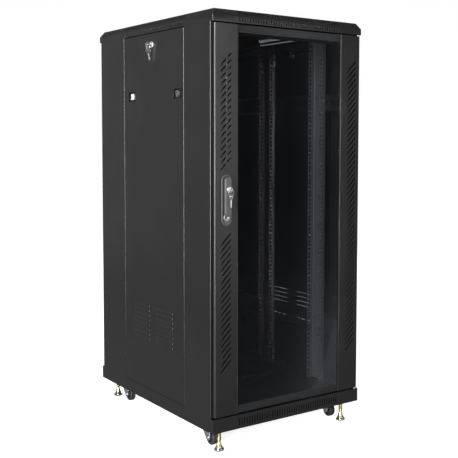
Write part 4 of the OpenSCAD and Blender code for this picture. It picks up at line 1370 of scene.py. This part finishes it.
def fork_meshes():
    """Swivel fork about its swivel axis: ball race, crown, two legs and the axle bolt."""
    crown = KING_LO.z + 2.5
    race_top = reach("caster_fork_front_left")[1].z
    bearing = 5.05
    eye = pin("z", (0, 0, crown - 8), bearing, race_top)
    race = lathe([(bearing, crown + 2), (17, crown + 2), (17, crown + 4.5), (15.8, crown + 5.4),
                  (15.8, crown + 6.2), (17, crown + 7), (17, race_top), (bearing, race_top)],
                 "z", (0, 0, 0))
    top = solid([slab((-15.5, -20, 15.5, 17), [3, 3, 8, 8], "z", crown, crown + 3)], [eye], 0.8)
    leg = rounded(
        [(-20, crown + 3), (-TRAIL - 9, AXLE_Z + 10), (-TRAIL - 9, AXLE_Z - 9),
         (-TRAIL + 9, AXLE_Z - 9), (17, crown - 6), (17, crown + 3)],
        [3, 6, 8.9, 8.9, 4, 3],
    )
    legs = [plain(prism(leg, "x", x, x + 2.5), edge=0.4) for x in (-15.5, 13)]
    axle = plain(pin("x", (-17.5, -TRAIL, AXLE_Z), 4, 35), edge=0.5)
    ends = [plain(prism(hexagon(-TRAIL, AXLE_Z, 6.5), "x", x, x + 4), edge=0.5) for x in (-19.5, 15.5)]
    return [plain(race), top] + legs + [axle] + ends


def wheel_meshes():
    """Rounded tread and moulded hub of one wheel about its own axle."""
    r = WHEEL_R
    tread = rounded([(r - 7, -9.5), (r, -9.5), (r, 9.5), (r - 7, 9.5)], [1, 4, 4, 1], 6)
    disc = rounded([(4.1, -12), (8, -12), (8, -4), (r - 6.5, -4), (r - 6.5, 4), (8, 4), (8, 12),
                    (4.1, 12)], [0.5, 1, 2, 0.3, 0.3, 2, 1, 0.5], 4)
    rib = block((-8, -1, 6), (8, 1, r - 6))
    ribs = [moved(spun(i * pi / 3, "X"), rib) for i in range(6)]
    hub_disc = plain(lathe(disc, "x", (0, 0, 0), 48), *ribs)
    return [plain(lathe(tread, "x", (0, 0, 0), 56), edge=0)], [hub_disc]


def thread(radius, depth, pitch, z0, z1):
    """A closed stud with a helical thread."""
    rows = int((z1 - z0) / pitch * 4)
    turns = 28

    def add(shape):
        rings = []
        for j in range(rows + 1):
            z = z0 + (z1 - z0) * j / rows
            ring = []
            for i in range(turns):
                angle = 2 * pi * i / turns
                phase = ((z / pitch) - i / turns) % 1.0
                r = radius - depth * (1 - abs(2 * phase - 1))
                ring.append(shape.verts.new((r * cos(angle), r * sin(angle), z)))
            rings.append(ring)
        skin(shape, rings)

    return add


def foot_meshes():
    """Chrome pad and yellow-zinc cone, waist and threaded stud about the foot's axis."""
    pad = rounded([(0.01, 0), (16, 0), (16, 6), (13.5, 8.6), (9, 9.6), (0.01, 9.6)],
                  [0, 1.2, 2.4, 3, 2, 0], 4)
    cone = rounded([(0.01, 9.3), (11.5, 9.3), (12.2, 11), (9, 16), (7.2, 23.5), (5, 29), (5, 32),
                    (6.6, 34), (0.01, 34)], [0, 0.5, 1, 3, 2, 2, 2, 1, 0], 4)
    turned = [plain(lathe(form, "z", (0, 0, 0), 48), edge=0) for form in (pad, cone)]
    stud = thread(7, 0.9, 2, 33.5, reach("foot_front_left")[1].z)
    return turned[:1], [turned[1], plain(stud, edge=0)]


def running_gear():
    plates = []
    base_plate = caster_meshes()
    fork = fork_meshes()
    tread, hub_disc = wheel_meshes()
    pad, stud = foot_meshes()
    for tag in ("front_left", "front_right", "rear_left", "rear_right"):
        wheel = "caster_wheel_" + tag
        lo, hi = reach(wheel)
        axle = (lo + hi) / 2
        king = at(axle.x, axle.y + TRAIL, 0)
        plates += shifted(base_plate, king)
        piece("fork_" + tag, shifted(fork, king), "caster_fork_" + tag)
        piece("tread_" + tag, shifted(tread, at(*axle)), wheel)
        piece("wheel_hub_" + tag, shifted(hub_disc, at(*axle)), wheel, "wheel_rubber", False)
        foot = "foot_" + tag
        x, y, _ = middle(foot)
        spot = at(x, y, reach(foot)[0].z)
        piece("foot_stud_" + tag, shifted(stud, spot), foot, "yellow_zinc")
        piece("foot_pad_" + tag, shifted(pad, spot), foot, "chrome", False)
    piece("caster_plate_set", plates, "caster_plates")


# ---- studio ----


def two_faced(tree, seen, room):
    """One shader for the camera's rays and another for all others."""
    path = grow(tree, "ShaderNodeLightPath")
    shaders = (path.outputs["Is Camera Ray"], room.outputs[0], seen.outputs[0])
    return grow(tree, "ShaderNodeMixShader", None, shaders).outputs[0]


def floor():
    """A wide pale floor, as bright as the backdrop to the camera and as the room to the rest."""
    material, tree, shader = blank("studio_floor")
    cloud = clouding(tree, 1.5, 3.0)
    tone = blend_colour(tree, cloud, [0.90, 0.90, 0.90, 1], [0.93, 0.93, 0.93, 1])
    fill(tree, shader, Base_Color=tone, Roughness=0.85, Specular_IOR_Level=0.1,
         Emission_Color=[1, 1, 1, 1], Emission_Strength=0.85)
    dim = grow(tree, "ShaderNodeBsdfDiffuse", Color=[0.2, 0.2, 0.2, 1])
    room = grow(tree, "ShaderNodeEmission", Color=[0.97, 0.98, 1, 1], Strength=0.14)
    grey = grow(tree, "ShaderNodeAddShader", None, (dim.outputs[0], room.outputs[0]))
    fill(tree, tree.nodes["Material Output"], Surface=two_faced(tree, shader, grey))
    mesh = bpy.data.meshes.new("studio_floor")
    shape = bmesh.new()
    bmesh.ops.create_grid(shape, x_segments=4, y_segments=4, size=30)
    shape.to_mesh(mesh)
    shape.free()
    obj = new_object("studio_floor", mesh)
    mesh.materials.append(material)


def softbox(name, place, target, width, height, glow):
    """A soft light whose surface shines with the given radiance."""
    light = bpy.data.lights.new(name, "AREA")
    light.shape = "RECTANGLE"
    light.size = width
    light.size_y = height
    light.energy = glow * pi * width * height
    obj = new_object(name, light)
    obj.location = place
    obj.rotation_euler = (Vector(target) - Vector(place)).to_track_quat("-Z", "Y").to_euler()
    return light


def lights():
    softbox("key_strip", (-3.3, -2.3, 1.3), (0, 0, 0.7), 0.6, 2.6, 62)
    softbox("side_wall", (-2.3, 3.6, 1.2), (-0.3, 0, 1.2), 2.4, 2.7, 0.22)
    softbox("front", (0.1, -3.1, 1.7), (0, 0, 0.8), 1.2, 1.6, 2.6)
    softbox("door_sheen", (1.35, -3.4, 1.1), (0.1, -0.4, 1.0), 0.7, 2.0, 2.8)
    inner = softbox("inner", (-0.25, -3.3, 1.0), (0.08, 0, 0.76), 0.2, 1.0, 2.6)
    inner.spread = radians(8)
    softbox("overhead", (0, 0, 4.2), (0, 0, 0), 3.0, 3.0, 0.6)
    softbox("back_fill", (2.4, 3.6, 1.9), (0, 0, 0.8), 1.8, 2.4, 2.5)


def world():
    """White to the camera, and a dim grey room to everything else."""
    scene_world = bpy.data.worlds.new("studio")
    bpy.context.scene.world = scene_world
    scene_world.use_nodes = True
    tree = scene_world.node_tree
    tree.nodes.clear()
    seen = grow(tree, "ShaderNodeBackground", Color=[1, 1, 1, 1], Strength=1.0)
    room = grow(tree, "ShaderNodeBackground", Color=[0.97, 0.98, 1, 1], Strength=0.21)
    grow(tree, "ShaderNodeOutputWorld", Surface=two_faced(tree, seen, room))


def camera():
    data = bpy.data.cameras.new("camera")
    data.lens = 67.05
    data.sensor_width = 36
    data.shift_x = -0.12
    data.shift_y = -0.0786
    obj = new_object("camera", data)
    obj.location = (-1.6787, -2.6118, 0.9896)
    yaw, pitch, roll = radians(36.727), radians(3.638), radians(0.267)
    look = Vector((sin(yaw) * cos(pitch), cos(yaw) * cos(pitch), -sin(pitch)))
    right = look.cross(Vector((0, 0, 1))).normalized()
    up = right.cross(look)
    turn = Matrix((right, up, -look)).transposed()
    obj.rotation_euler = (turn @ Matrix.Rotation(roll, 3, "Z")).to_euler()
    bpy.context.scene.camera = obj


base()
cap()
covers()
ring()
posts()
braces()
brace_bolts()
rails()
slot_light_pads()
rail_bolts()
front_door()
glass()
seals()
hinge_pins()
handle_plate()
hub()
lever()
handle_lock()
side_locks()
rear_lock()
lock_rods()
rod_guides()
rear_door()
both_sides("side_panel", side_panel_meshes())
latches()
running_gear()
floor()
lights()
world()
camera()
bpy.context.scene.view_settings.view_transform = "Standard"
